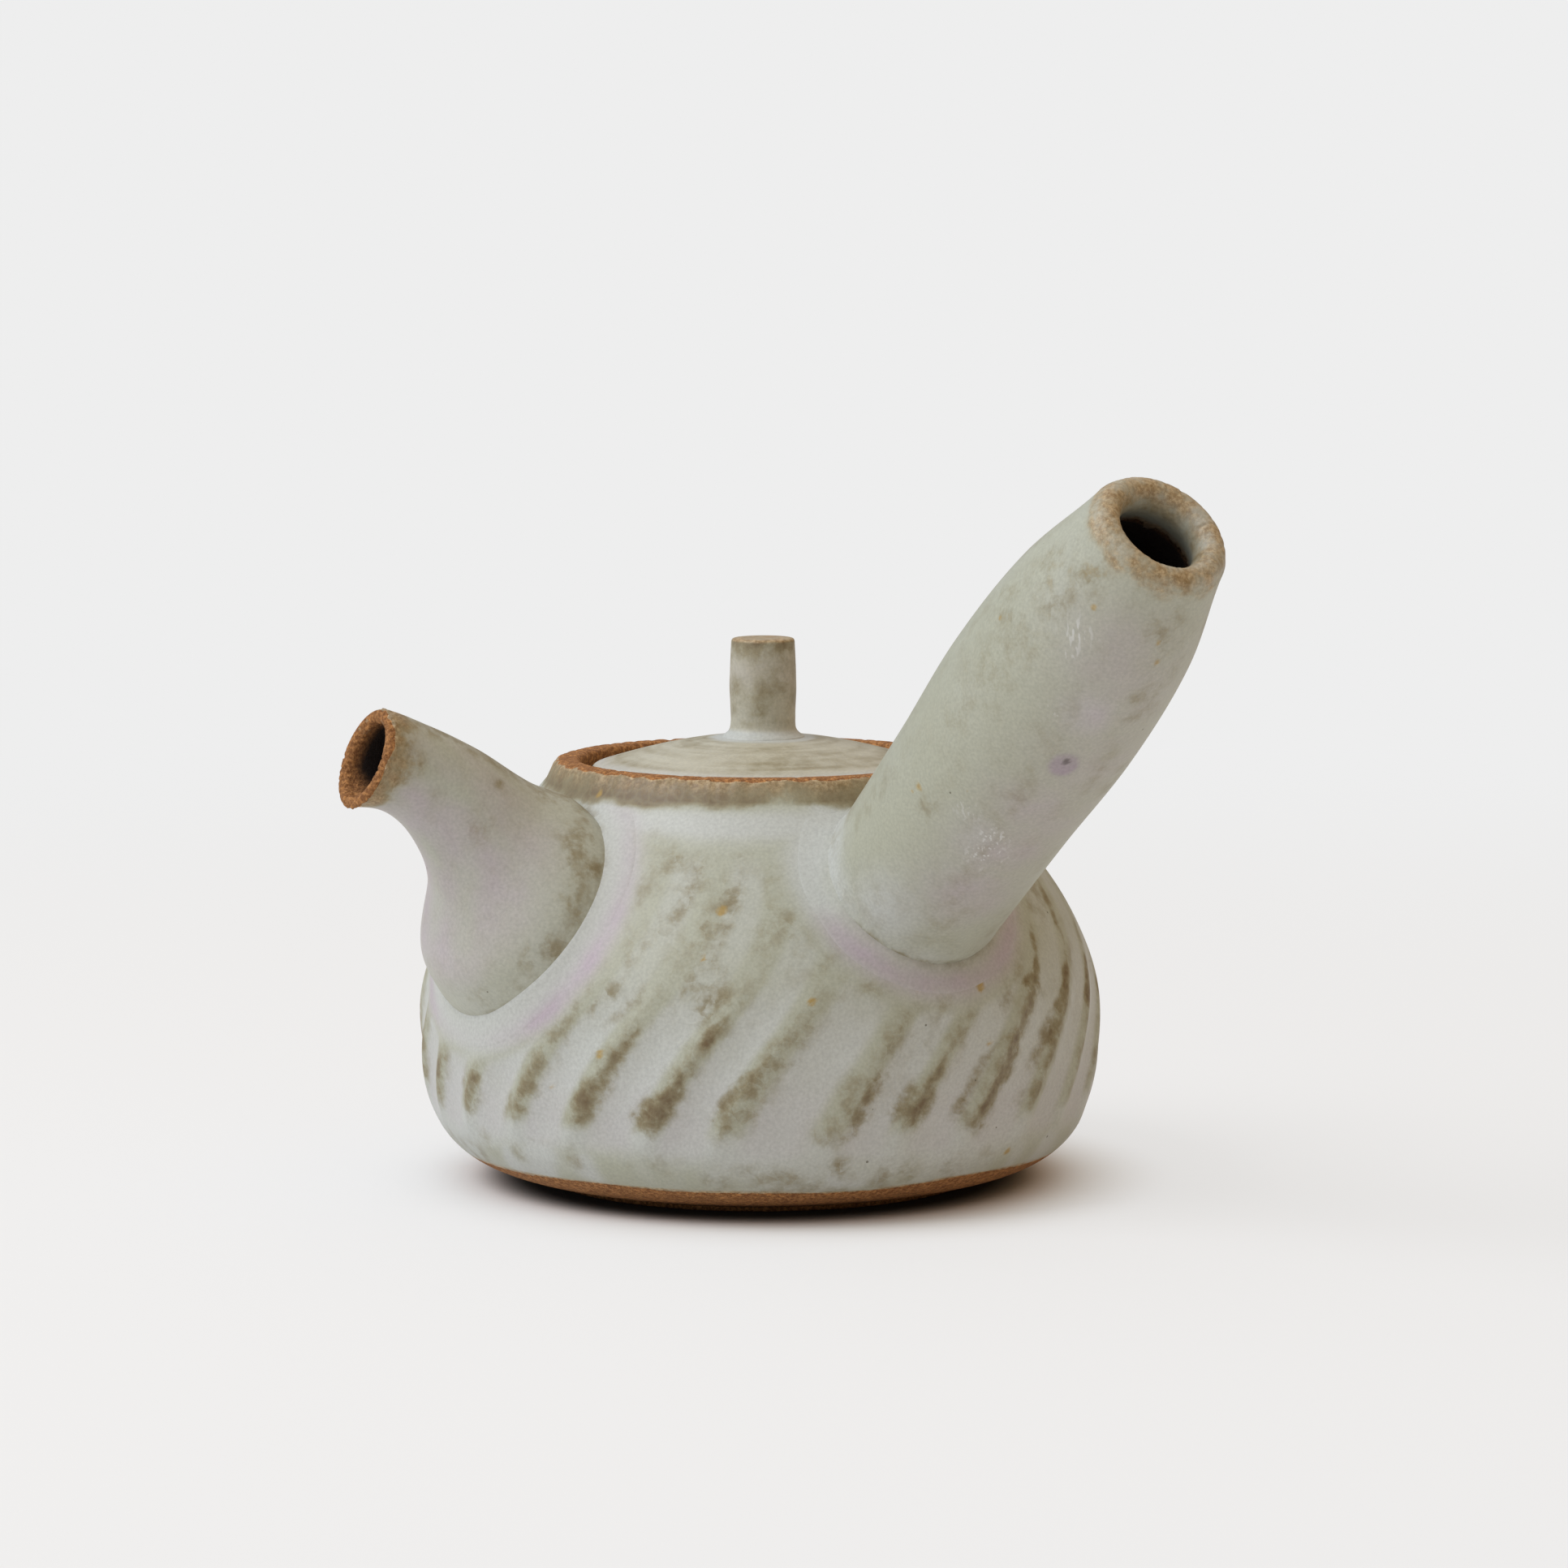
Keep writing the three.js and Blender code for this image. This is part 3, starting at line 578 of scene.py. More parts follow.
pot_masks = {
    "thin": thin,
    "pool": pool,
    "blush": blush,
    "even": even,
    "bare": bare,
    "ochre": spots(plain, pot_ochre),
    "shade_and_pit": shade_and_pit,
}
# Every other row is left out where the form is plain: on the foot's slope, in the lid's
# seat and inside.
slope_foot = 0.8
slope_top = 3
seat_edge = 0.4
on_slope = is_outside & (height > slope_foot) & (height < slope_top)
in_seat = ~is_outside & (height < gallery_height + seat_edge)
kept = ~(on_slope | in_seat)[:, 0] | (np.arange(len(outline)) % 2 == 0)
kept_masks = {name: np.broadcast_to(values, turn.shape)[kept] for name, values in pot_masks.items()}
pot = skin("pot", pot_rows[kept], kept_masks)


def linear(hex_colour):
    """An sRGB hex colour as linear light, with full alpha."""
    shares = np.array([int(hex_colour[i:i + 2], 16) for i in (0, 2, 4)]) / 255
    light = np.where(shares <= 0.04045, shares / 12.92, ((shares + 0.055) / 1.055) ** 2.4)
    return (*light.tolist(), 1.0)


def node(tree, kind, inputs=None, out=0, **settings):
    """Adds a shader node, sets its properties, gives each input a value or the socket that feeds it, and
    returns one of its outputs."""
    made = tree.nodes.new("ShaderNode" + kind)
    for setting, value in settings.items():
        setattr(made, setting, value)
    for socket, value in (inputs or {}).items():
        if isinstance(value, bpy.types.NodeSocket):
            tree.links.new(value, made.inputs[socket])
        else:
            made.inputs[socket].default_value = value
    return made.outputs[out]


def per_mm(size):
    """The scale of a pattern whose cells are this many millimetres across."""
    return 1 / (size * MM)


# The sizes of the glaze's patterns in mm. The crystals of a matt glaze, the clay's
# finest grit and the scratches are under 0.1 mm and too fine to show, so they are
# drawn about half a mm across. The others have their real sizes.
cloud_size = 14
wisp_size = 5
stray_size = 3.2
stray_reach = 1.7
mottle_size = 2.6
cell_size = 1.9
crystal_size = 0.45
grit_size = 0.6
ragged_size = 1.1
pinhole_spacing = 4.2
scratch_size = 0.55
matt_roughness = (0.42, 0.54)
bare_roughness = 0.9


def stoneware(name, colours, mottle=1.0):
    """Matt glaze over coarse clay, with a soft sheen on the glaze and none on the clay. The colour goes from
    celadon to milk where the glaze is pooled, to lilac where it blushes, to olive and iron brown where it is
    thin and mottled, and to gritty clay where it is bare. A colour Mix gives input 0 as the share of input 7
    over input 6."""
    material = bpy.data.materials.new(name)
    material.use_nodes = True
    tree = material.node_tree
    shader = tree.nodes["Principled BSDF"]
    soft = {"interpolation_type": "SMOOTHSTEP"}
    mix = {"out": 2, "data_type": "RGBA"}
    shades = {shade: linear(hex_colour) for shade, hex_colour in colours.items()}
    place = node(tree, "TexCoord", out="Object")
    thin, pool, blush, even, bare, ochre, shade_and_pit, scuff = (
        node(tree, "Attribute", out="Fac", attribute_name=mask)
        for mask in ("thin", "pool", "blush", "even", "bare", "ochre", "shade_and_pit", "scuff")
    )

    wander = {"Vector": place, "Scale": per_mm(stray_size), "Detail": 2.0}
    wander = node(tree, "TexNoise", wander, out="Color")
    stray = (stray_reach * MM,) * 3
    strayed = node(tree, "VectorMath", {0: wander, 1: stray, 2: place}, operation="MULTIPLY_ADD")
    clouds = node(tree, "TexNoise", {"Vector": place, "Scale": per_mm(cloud_size), "Detail": 3.0})
    wisps = node(tree, "TexNoise", {"Vector": place, "Scale": per_mm(wisp_size), "Detail": 4.0})
    mottles = {"Vector": place, "Scale": per_mm(mottle_size), "Detail": 4.0, "Roughness": 0.6}
    mottles = node(tree, "TexNoise", mottles)
    clumps = node(tree, "MapRange", {"Value": mottles, "From Min": 0.3, "From Max": 0.7}, **soft)
    grain = node(tree, "TexNoise", {"Vector": place, "Scale": per_mm(crystal_size), "Detail": 2.0})
    cell = {"Vector": strayed, "Scale": per_mm(cell_size)}
    cell_edge = node(tree, "TexVoronoi", cell, feature="DISTANCE_TO_EDGE")
    cell_shade = node(tree, "SeparateColor", {0: node(tree, "TexVoronoi", cell, out="Color")})

    # Milk white where the glaze is pooled, clouded at its edge, and wisps of lilac.
    unevenly = node(tree, "Math", {0: clouds, 1: 0.8, 2: -0.4}, operation="MULTIPLY_ADD")
    pooled = node(tree, "Math", {0: pool, 1: unevenly}, operation="ADD")
    milky = node(tree, "MapRange", {"Value": pooled, "From Min": 0.0, "From Max": 0.95}, **soft)
    colour = node(tree, "Mix", {0: milky, 6: shades["celadon"], 7: shades["milk"]}, **mix)
    drift = {"Value": wisps, "From Min": 0.25, "From Max": 0.75, "To Min": 0.6, "To Max": 1.1}
    drift = node(tree, "MapRange", drift, **soft)
    blushed = node(tree, "Math", {0: blush, 1: drift}, operation="MULTIPLY")
    colour = node(tree, "Mix", {0: blushed, 6: colour, 7: shades["lilac"]}, **mix)

    # Olive where the glaze is thin, then iron brown. Mottles and cells break it up, most
    # where it is half thin, and not at all where the mask says that it is even.
    broken = node(tree, "Math", {0: clumps, 1: 0.9 * mottle, 2: -0.65 * mottle}, operation="MULTIPLY_ADD")
    broken = node(tree, "Math", {0: cell_shade, 1: 0.35 * mottle, 2: broken}, operation="MULTIPLY_ADD")
    uneven_share = node(tree, "Math", {0: 1.0, 1: even}, operation="SUBTRACT")
    broken = node(tree, "Math", {0: broken, 1: uneven_share}, operation="MULTIPLY")
    reach = node(tree, "Math", {0: 1.6, 1: thin}, operation="SUBTRACT")
    reach = node(tree, "Math", {0: reach, 1: thin}, operation="MULTIPLY")
    worn = node(tree, "Math", {0: broken, 1: reach, 2: thin}, operation="MULTIPLY_ADD")
    cell_line = {"Value": cell_edge, "From Min": 0.0, "From Max": 0.2, "To Min": 0.65}
    cell_line = node(tree, "MapRange", cell_line, **soft)
    olive = {"Value": worn, "From Min": 0.06, "From Max": 0.78, "To Max": 0.94}
    olive = node(tree, "MapRange", olive, **soft)
    colour = node(tree, "Mix", {0: olive, 6: colour, 7: shades["olive"]}, **mix)
    iron = {"Value": worn, "From Min": 0.55, "From Max": 1.15, "To Max": 0.85}
    iron = node(tree, "MapRange", iron, **soft)
    iron = node(tree, "Math", {0: iron, 1: cell_line}, operation="MULTIPLY")
    colour = node(tree, "Mix", {0: iron, 6: colour, 7: shades["iron"]}, **mix)

    # Amber and sand where the clay warms a glaze that is almost worn off, then dark grey
    # for painted shade and the handle's pit, and the ochre specks.
    grit = {"Vector": place, "Scale": per_mm(grit_size), "Detail": 4.0, "Roughness": 0.75}
    grit = node(tree, "TexNoise", grit)
    sandy = node(tree, "MapRange", {"Value": grit, "From Min": 0.36, "From Max": 0.66}, **soft)
    amber = node(tree, "Mix", {0: sandy, 6: shades["amber"], 7: shades["sand"]}, **mix)
    warm = node(tree, "MapRange", {"Value": clumps, "To Min": 0.6, "To Max": 1.4})
    warm = node(tree, "Math", {0: warm, 1: bare}, operation="MULTIPLY")
    warm = node(tree, "MapRange", {"Value": warm, "From Max": 0.36, "To Max": 0.92}, **soft)
    colour = node(tree, "Mix", {0: warm, 6: colour, 7: amber}, **mix)
    # Painted shade in dark grey over the glaze, which also colours the handle's pit and its ring.
    pit_and_shade_grey = node(tree, "Math", {0: shade_and_pit, 1: 0.8}, operation="MULTIPLY")
    colour = node(tree, "Mix", {0: pit_and_shade_grey, 6: colour, 7: shades["pit_and_shade_grey"]}, **mix)
    spotted = node(tree, "Math", {0: clumps, 1: 0.35, 2: ochre}, operation="MULTIPLY_ADD")
    spotted = {"Value": spotted, "From Min": 0.45, "From Max": 0.95, "To Max": 0.8}
    spotted = node(tree, "MapRange", spotted, **soft)
    colour = node(tree, "Mix", {0: spotted, 6: colour, 7: shades["ochre"]}, **mix)

    # Pinholes, of which about half the cells have one, a powdery grain over all of it,
    # and hair thin pale scratches where the glaze is scuffed.
    holes = {"Vector": place, "Scale": per_mm(pinhole_spacing)}
    hole_near = node(tree, "TexVoronoi", holes, out="Distance")
    hole_kind = node(tree, "SeparateColor", {0: node(tree, "TexVoronoi", holes, out="Color")})
    hole_size = node(tree, "MapRange", {"Value": hole_kind, "From Min": 0.45, "To Min": 0.0, "To Max": 0.05})
    pinhole = node(tree, "Math", {0: hole_near, 1: hole_size}, operation="LESS_THAN")
    pinhole = node(tree, "Math", {0: pinhole, 1: 0.75}, operation="MULTIPLY")
    colour = node(tree, "Mix", {0: pinhole, 6: colour, 7: shades["pinhole"]}, **mix)
    powder = {"Value": grain, "From Min": 0.3, "From Max": 0.7, "To Min": 0.91, "To Max": 1.08}
    powder = node(tree, "MapRange", powder)
    colour = node(tree, "VectorMath", {0: colour, 1: powder}, operation="MULTIPLY")
    slanted = {"Vector": place, "Rotation": (0.7, 0.25, 0.5), "Scale": (1.0, 1.0, 0.12)}
    slanted = node(tree, "Mapping", slanted)
    hairs = node(tree, "TexNoise", {"Vector": slanted, "Scale": per_mm(scratch_size), "Detail": 3.0})
    scratched = node(tree, "MapRange", {"Value": hairs, "From Min": 0.56, "From Max": 0.64}, **soft)
    scratched = node(tree, "Math", {0: scratched, 1: scuff}, operation="MULTIPLY")
    colour = node(tree, "Mix", {0: scratched, 6: colour, 7: shades["scratch"]}, **mix)

    # Bare clay with grains of pale grog, near black where shade is painted in, up to a ragged edge of the
    # glaze.
    clay = node(tree, "Mix", {0: sandy, 6: shades["clay"], 7: shades["grog"]}, **mix)
    clay = node(tree, "Mix", {0: shade_and_pit, 6: clay, 7: shades["clay_shade"]}, **mix)
    ragged = node(tree, "TexNoise", {"Vector": place, "Scale": per_mm(ragged_size), "Detail": 3.0})
    ragged = node(tree, "Math", {0: ragged, 1: 0.7, 2: -0.35}, operation="MULTIPLY_ADD")
    edge = node(tree, "Math", {0: bare, 1: ragged}, operation="ADD")
    is_bare = node(tree, "MapRange", {"Value": edge, "From Min": 0.43, "From Max": 0.57}, **soft)
    colour = node(tree, "Mix", {0: is_bare, 6: colour, 7: clay}, **mix)
    tree.links.new(colour, shader.inputs["Base Color"])

    # The glaze is matt and the clay dry. The surface rolls softly with the wisps, and the
    # clay lies a little below the glaze and stands up in grains.
    matt = {"Value": grain, "From Min": 0.3, "From Max": 0.7}
    matt = node(tree, "MapRange", {**matt, "To Min": matt_roughness[0], "To Max": matt_roughness[1]})
    dry = node(tree, "Math", {0: is_bare, 1: bare_roughness}, operation="MULTIPLY")
    rough = node(tree, "Math", {0: matt, 1: dry}, operation="MAXIMUM")
    tree.links.new(rough, shader.inputs["Roughness"])
    relief = node(tree, "Math", {0: wisps, 1: 0.16}, operation="MULTIPLY")
    relief = node(tree, "Math", {0: grain, 1: 0.02, 2: relief}, operation="MULTIPLY_ADD")
    relief = node(tree, "Math", {0: pinhole, 1: -0.1, 2: relief}, operation="MULTIPLY_ADD")
    sunk = node(tree, "Math", {0: sandy, 1: 0.2, 2: -0.25}, operation="MULTIPLY_ADD")
    relief = node(tree, "Math", {0: is_bare, 1: sunk, 2: relief}, operation="MULTIPLY_ADD")
    bump = node(tree, "Bump", {"Height": relief, "Strength": 0.7, "Distance": 1 * MM})
    tree.links.new(bump, shader.inputs["Normal"])
    return material


# A matt celadon glaze over coarse stoneware full of iron: pale grey green, milky and
# lilac where it is thick, olive and rust where the clay comes through.
celadon_colours = {
    "celadon": "aaac9b",
    "milk": "babdb8",
    "lilac": "b1a5ae",
    "olive": "857b5d",
    "iron": "624c2e",
    "amber": "8c7048",
    "sand": "c2aa84",
    # Dark grey for painted shade on the glaze and for the handle's pit.
    "pit_and_shade_grey": "4a3f40",
    "ochre": "a6883f",
    "pinhole": "5d5648",
    "scratch": "d0d2d0",
    "clay": "7b4e26",
    "grog": "c38a52",
    # Near black for shade painted on bare clay.
    "clay_shade": "1c0e06",
}
celadon_glaze = stoneware("matt_celadon_glaze", celadon_colours)
pot.data.materials.append(celadon_glaze)
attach(pot, "pot")
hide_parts("pot_body")

# The hole behind the spout and the strainer luted into it: a pierced dome of the same
# clay, unglazed, whose 37 holes fan out from one point so that tea leaves stay behind.
# The strainer stands square to the pot's wall, with its dome to the inside.
strainer_radius = 10.2
strainer_dome = 7.0
strainer_wall = 2.2
strainer_ring = 2.6
strainer_inset = 2.1
strainer_hole = 1.0
strainer_rings = 3
strainer_step = 0.3
step = pot_wall / 2
slope = np.array((float(radius_at(spout_join[2] + step) - radius_at(spout_join[2] - step)), 2 * step))
slope /= np.hypot(*slope)
outward = np.array((-slope[1], 0, -slope[0]))
# The strainer is bare, with shade painted in, because it sits inside the pot.
all_bare = {"bare": 1.0, "shade_and_pit": 0.4}
plug_reach = 12
plug = [(0, -plug_reach), (hole_radius, -plug_reach), (hole_radius, plug_reach), (0, plug_reach)]
bored(pot, [skin("hole_cutter", turned(plug, 96, spout_join, outward), all_bare)])

seat = spout_join - outward * (strainer_inset + strainer_ring)
arc = np.linspace(0, math.pi / 2, 15)[1:]
quarter_circle = np.stack([np.sin(arc), np.cos(arc)], -1)
hollow_dome = quarter_circle * (strainer_radius - strainer_wall, strainer_dome - strainer_wall)
outer_dome = (quarter_circle * (strainer_radius, strainer_dome))[::-1]
lip = [
    (strainer_radius - strainer_wall, -strainer_ring),
    (strainer_radius, -strainer_ring),
    (strainer_radius + 0.2, -1.4),
    (strainer_radius + 1.3, -0.6),
    (strainer_radius + 1.2, 0.2),
    (strainer_radius + 0.4, 0.8),
]
shell = np.vstack([
    [(0, strainer_dome - strainer_wall)], hollow_dome, lip, outer_dome[1:], [(0, strainer_dome)],
])
strainer = skin("strainer_dome", turned(shell, 120, seat, -outward), all_bare)
focus = seat + outward * strainer_ring
side = np.array((0, 1.0, 0))
across_dome = np.cross(side, outward)
pin = [(0, 3), (strainer_hole, 3), (strainer_hole, 16), (0, 16)]
pins = []
for ring in range(strainer_rings + 1):
    holes = max(1, 6 * ring)
    for i in range(holes):
        spin = i * 2 * math.pi / holes
        tilt = ring * strainer_step
        away = math.cos(spin) * side + math.sin(spin) * across_dome
        way = -math.cos(tilt) * outward + math.sin(tilt) * away
        pins.append(skin("hole_pin", turned(pin, 20, focus, way), all_bare))
bored(strainer, pins)
# The same coarse stoneware as the pot, left bare: gritty, rust brown and dry.
bare_stoneware = stoneware("bare_stoneware", celadon_colours)
strainer.data.materials.clear()
strainer.data.materials.append(bare_stoneware)
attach(strainer, "pot")
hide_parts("strainer")

# The spout, thrown as a cone, cut to the shoulder and bent up to a short tip with a
# straight cut lip. It is glazed outside to just behind the lip, and bare in its bore.
arm_columns = 260
arm_rows = 190
bore_rows = 36
lip_rows = 9
spout_span = 40.0
spout_wall = 1.95
spout_lip = 0.8
spout_funnel = (spout_wall - spout_lip, 1.1)
spout_grit = 0.08
spout_lip_line = 0.45
spout_tip_fade = (1.8, 7.0)
spout_lilac_foot = (3, 9)
# Close to its crease an arm tucks in where it was pressed down, and rolls out a little
# above that. It spreads out where it was smoothed, over a longer reach.
crease_tuck = 0.35
crease_spread = 0.55
crease_reach = 0.7
crease_more_reach = 0.8
crease_roll = 0.12


def arm_skin(name, arm, span, wall, lip, funnel, blended, grit, glaze):
    """A hollow arm as one closed skin: up the outside from the crease, round the lip by a quarter circle and
    down a quarter ellipse, and back down the bore. Close to the crease the outside curls in where it was
    pressed down, and spreads out where it was smoothed into the shoulder. The lip is rough by the grit."""
    turns = np.arange(arm_columns) * 2 * math.pi / arm_columns
    root = leaves_pot(arm, turns)[None]
    rise = np.linspace(0, 1, arm_rows)[:, None] ** 1.1
    up = root + (1 - lip / span - root) * rise
    quarter = np.linspace(0, math.pi / 2, lip_rows)[1:, None]
    deep = (1 - funnel[1] / span - root) * np.linspace(1, 0, bore_rows)[1:, None] + root
    from_crease = (up - root) * span
    smoothed = blended(turns)[None]
    reach = crease_reach + crease_more_reach * smoothed
    near = (crease_spread * smoothed - crease_tuck * (1 - smoothed)) * np.exp(-from_crease / reach)
    near = near + crease_roll * (1 - smoothed) * bell(from_crease, 1.8, 1.2)
    flat = 0 * root
    along = np.vstack([up, 1 + 0 * quarter + flat, 1 + 0 * quarter + flat, deep])
    grow = np.vstack([
        near,
        -lip * (1 - np.cos(quarter)) + flat,
        -lip - (wall - lip) * np.sin(quarter) + flat,
        -wall + 0 * deep,
    ])
    push = np.vstack([
        0 * up,
        -lip * (1 - np.sin(quarter)) + flat,
        -funnel[1] * (1 - np.cos(quarter)) + flat,
        0 * deep,
    ])
    part = np.repeat((0, 1, 2, 3), (len(up), len(quarter), len(quarter), len(deep)))[:, None]
    from_tip = span * (1 - along) - push
    noise = drawn_out(along.shape, 40, 60)
    near_lip = bell(from_tip, 0, 1.5) * (part < 3)
    grow = grow + grit * noise * near_lip
    push = push - grit * np.abs(noise) * near_lip * (part > 0)
    rows = on_arm(arm, along, turns[None] + 0 * along, grow, push)
    masks = glaze(rows, part, (along - root) * span, from_tip, turns[None] + 0 * along)
    return skin(name, rows, masks, loop=True)


def spout_blended(turns):
    """The spout is smoothed into the shoulder on its two sides and pressed down in front."""
    return smooth(np.abs(np.cos(turns)), 0.25, 0.85) * smooth(np.cos(turns), -2.2, 0.6)


# Tan marks on the spout, where its glaze lies thin: (place, spread, strength).
spout_tan = [
    ((-52.5, -9.0, 55.5), 3.5, 0.36),
    ((-57.5, -5.0, 60.5), 3.0, 0.30),
    ((-49.0, -12.5, 52.0), 3.0, 0.30),
    ((-48.4, -6.5, 61.3), 1.3, 0.45),
    ((-35.9, -9.5, 55.4), 2.4, 0.40),
    ((-38.2, -15.0, 49.2), 2.7, 0.56),
    ((-42.2, -17.0, 43.4), 2.6, 0.42),
    ((-45.6, -16.2, 38.0), 3.2, 0.48),
    ((-48.8, -12.1, 31.8), 2.6, 0.38),
]


def spout_glaze(rows, part, from_crease, from_tip, turn):
    """Thin at the tip and beside the crease, lilac grey over the belly of the spout, with a bare gritty lip.
    The parts are 0 outside, 1 and 2 round the lip and 3 in the bore, and the distances are in mm."""
    outer = part == 0
    toward = smooth(np.cos(turn), -0.3, 0.7)
    noise = drawn_out(rows.shape[:2], 5, 11)
    dots = drawn_out(rows.shape[:2], 40, 55)
    beside_crease = bell(from_crease, 3.0 + 0.6 * noise, 2.3) * (0.12 + 0.2 * toward) * (0.9 + 0.2 * dots)
    beside_crease = beside_crease * smooth(np.sin(turn) + 0.4 * toward, -1.25, -0.5)
    ridge_top = smooth(np.sin(turn), 0.55, 0.95)
    behind_tip = 1 - smooth(from_tip + 0.8 * noise, *spout_tip_fade)
    thin = np.maximum(0.12, beside_crease + 0.1 * noise)
    thin = np.maximum(thin, 0.96 * behind_tip)
    thin = np.maximum(thin, 0.46 * ridge_top)
    thin = np.maximum(thin, spots(rows, spout_tan))
    # Painted shade: an olive line along the crease.
    thin = np.maximum(thin, 0.3 * bell(from_crease, 0.6, 0.7))
    blush = (0.5 + 0.15 * noise) * smooth(from_crease, *spout_lilac_foot)
    blush = blush * (1 - behind_tip) * (1 - 0.6 * ridge_top)
    blush = blush * (0.45 + 0.55 * smooth(-np.sin(turn), -0.6, 0.6))
    beneath = smooth(-np.sin(turn) - 0.3 * np.cos(turn), 0.0, 0.9)
    lip_line = spout_lip_line + 0.3 * noise + 0.8 * beneath
    lip_bare = np.maximum(1 - smooth(from_tip, lip_line - 0.3, lip_line + 0.3), 0.2 * behind_tip)
    face_bare = 1 - 0.4 * smooth(np.sin(turn), -0.1, 0.7) * smooth(noise, -0.5, 0.4)
    # Painted shade: the bore darkens the deeper it goes, and the rounding of the lip a little.
    deep = smooth(from_tip, 0.8, 3 + 4 * smooth(-np.sin(turn), 0.2, 0.9))
    return {
        "thin": np.where(outer, thin, 1.0),
        "pool": np.where(outer, 0.3 * (1 - 0.7 * behind_tip), 0),
        "blush": np.where(outer, blush, 0),
        "bare": np.where(part < 2, lip_bare, np.where(part == 2, face_bare, 1.0)),
        "shade_and_pit": np.where(part == 3, deep, 0.1 * (part > 0)),
    }


spout_piece = arm_skin(
    "spout_tube", spout, spout_span, spout_wall, spout_lip, spout_funnel, spout_blended, spout_grit,
    spout_glaze,
)
spout_piece.data.materials.append(celadon_glaze)
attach(spout_piece, "pot")
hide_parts("spout")

# The handle, a tube thrown hollow so that it stays cool. It swells to the palm, closes
# in to a thick rounded lip round a thumb sized hole, and carries the glaze's one big
# pinhole, a lilac ring round a dark pit, and a few ochre specks.
handle_wall = 4.0
handle_lip = 2.0
handle_funnel = (handle_wall - handle_lip, 3.2)
handle_grit = 0.04
handle_span = handle_length + handle_inset
handle_lip_fade = (0.6, 4.4)
handle_worn_top = (8, 45)
handle_ring_edge = (1.4, 2.7)
handle_pit_edge = (0.35, 0.75)
handle_left_below = 218
handle_mouth_shade = (4, 7)
# Painted shade deepens in the handle's mouth between these distances from the tip.
handle_mouth_bare = (6, 8.0)


def on_handle(distance, degrees):
    """A place on the outside of the handle: so far from the join's middle, at a turn round the handle in
    degrees."""
    along = (distance + handle_inset) / handle_span
    return tuple(on_arm(handle, along, math.radians(degrees)))


def handle_blended(turns):
    """The handle is smoothed into the shoulder on its left and pressed down on its right and below."""
    return smooth(-np.cos(turns), -0.2, 0.7)


# Marks on the handle, each with its place, its spread and its strength: ochre stains
# and specks, lilac and pale clouds, thin patches, and scuffs.
handle_pit = np.array(on_handle(44.6, 248.8))
handle_ring = np.array(on_handle(43.9, 248.8))
handle_ochre = [
    (on_handle(72, 192), 4.5, 0.3),
    (on_handle(67, 176), 4.5, 0.28),
    (on_handle(66, 264), 3.5, 0.3),
    (on_handle(25.2, 188), 0.9, 0.8),
    (on_handle(23.6, 186), 0.6, 0.7),
    (on_handle(68.2, 210.5), 0.7, 0.85),
    (on_handle(55, 166), 0.6, 0.6),
    (on_handle(31.7, 213.5), 0.4, 0.6),
    (on_handle(67, 262), 0.9, 0.6),
    (on_handle(64, 268), 0.7, 0.6),
]
handle_lilac = [
    (on_handle(53.9, 245.5), 4.4, 0.62),
    (on_handle(24.5, 252), 6.5, 0.66),
    (on_handle(14, 251), 6.0, 0.7),
    (on_handle(34, 250), 6.5, 0.5),
    (on_handle(64, 240), 8.0, 0.42),
    (on_handle(58, 262), 9.0, 0.36),
    (on_handle(44, 268), 9.0, 0.36),
    (on_handle(30, 270), 8.0, 0.36),
]
handle_pale = [
    (on_handle(53.5, 245.5), 4.0, 0.5),
    (on_handle(26, 230), 5.0, 0.5),
    (on_handle(4, 215), 7.0, 0.8),
]
handle_thin = [
    (on_handle(70, 190), 6.5, 0.36),
    (on_handle(66, 176), 6.5, 0.36),
    (on_handle(58, 165), 6.0, 0.30),
    (on_handle(69, 264), 5.0, 0.38),
    (on_handle(57, 272), 5.0, 0.32),
    (on_handle(24, 195), 4.0, 0.34),
    (on_handle(40, 285), 7.0, 0.30),
    (on_handle(48, 172), 6.0, 0.2),
]
handle_scuffs = [
    (on_handle(64, 212.5), 2.2, 0.7),
    (on_handle(61.5, 214), 1.6, 0.7),
    (on_handle(22.3, 244), 2.6, 1.0),
    (on_handle(26, 240), 2.4, 0.9),
    (on_handle(28.6, 219), 2.0, 0.45),
    (on_handle(52, 226), 1.5, 0.5),
]


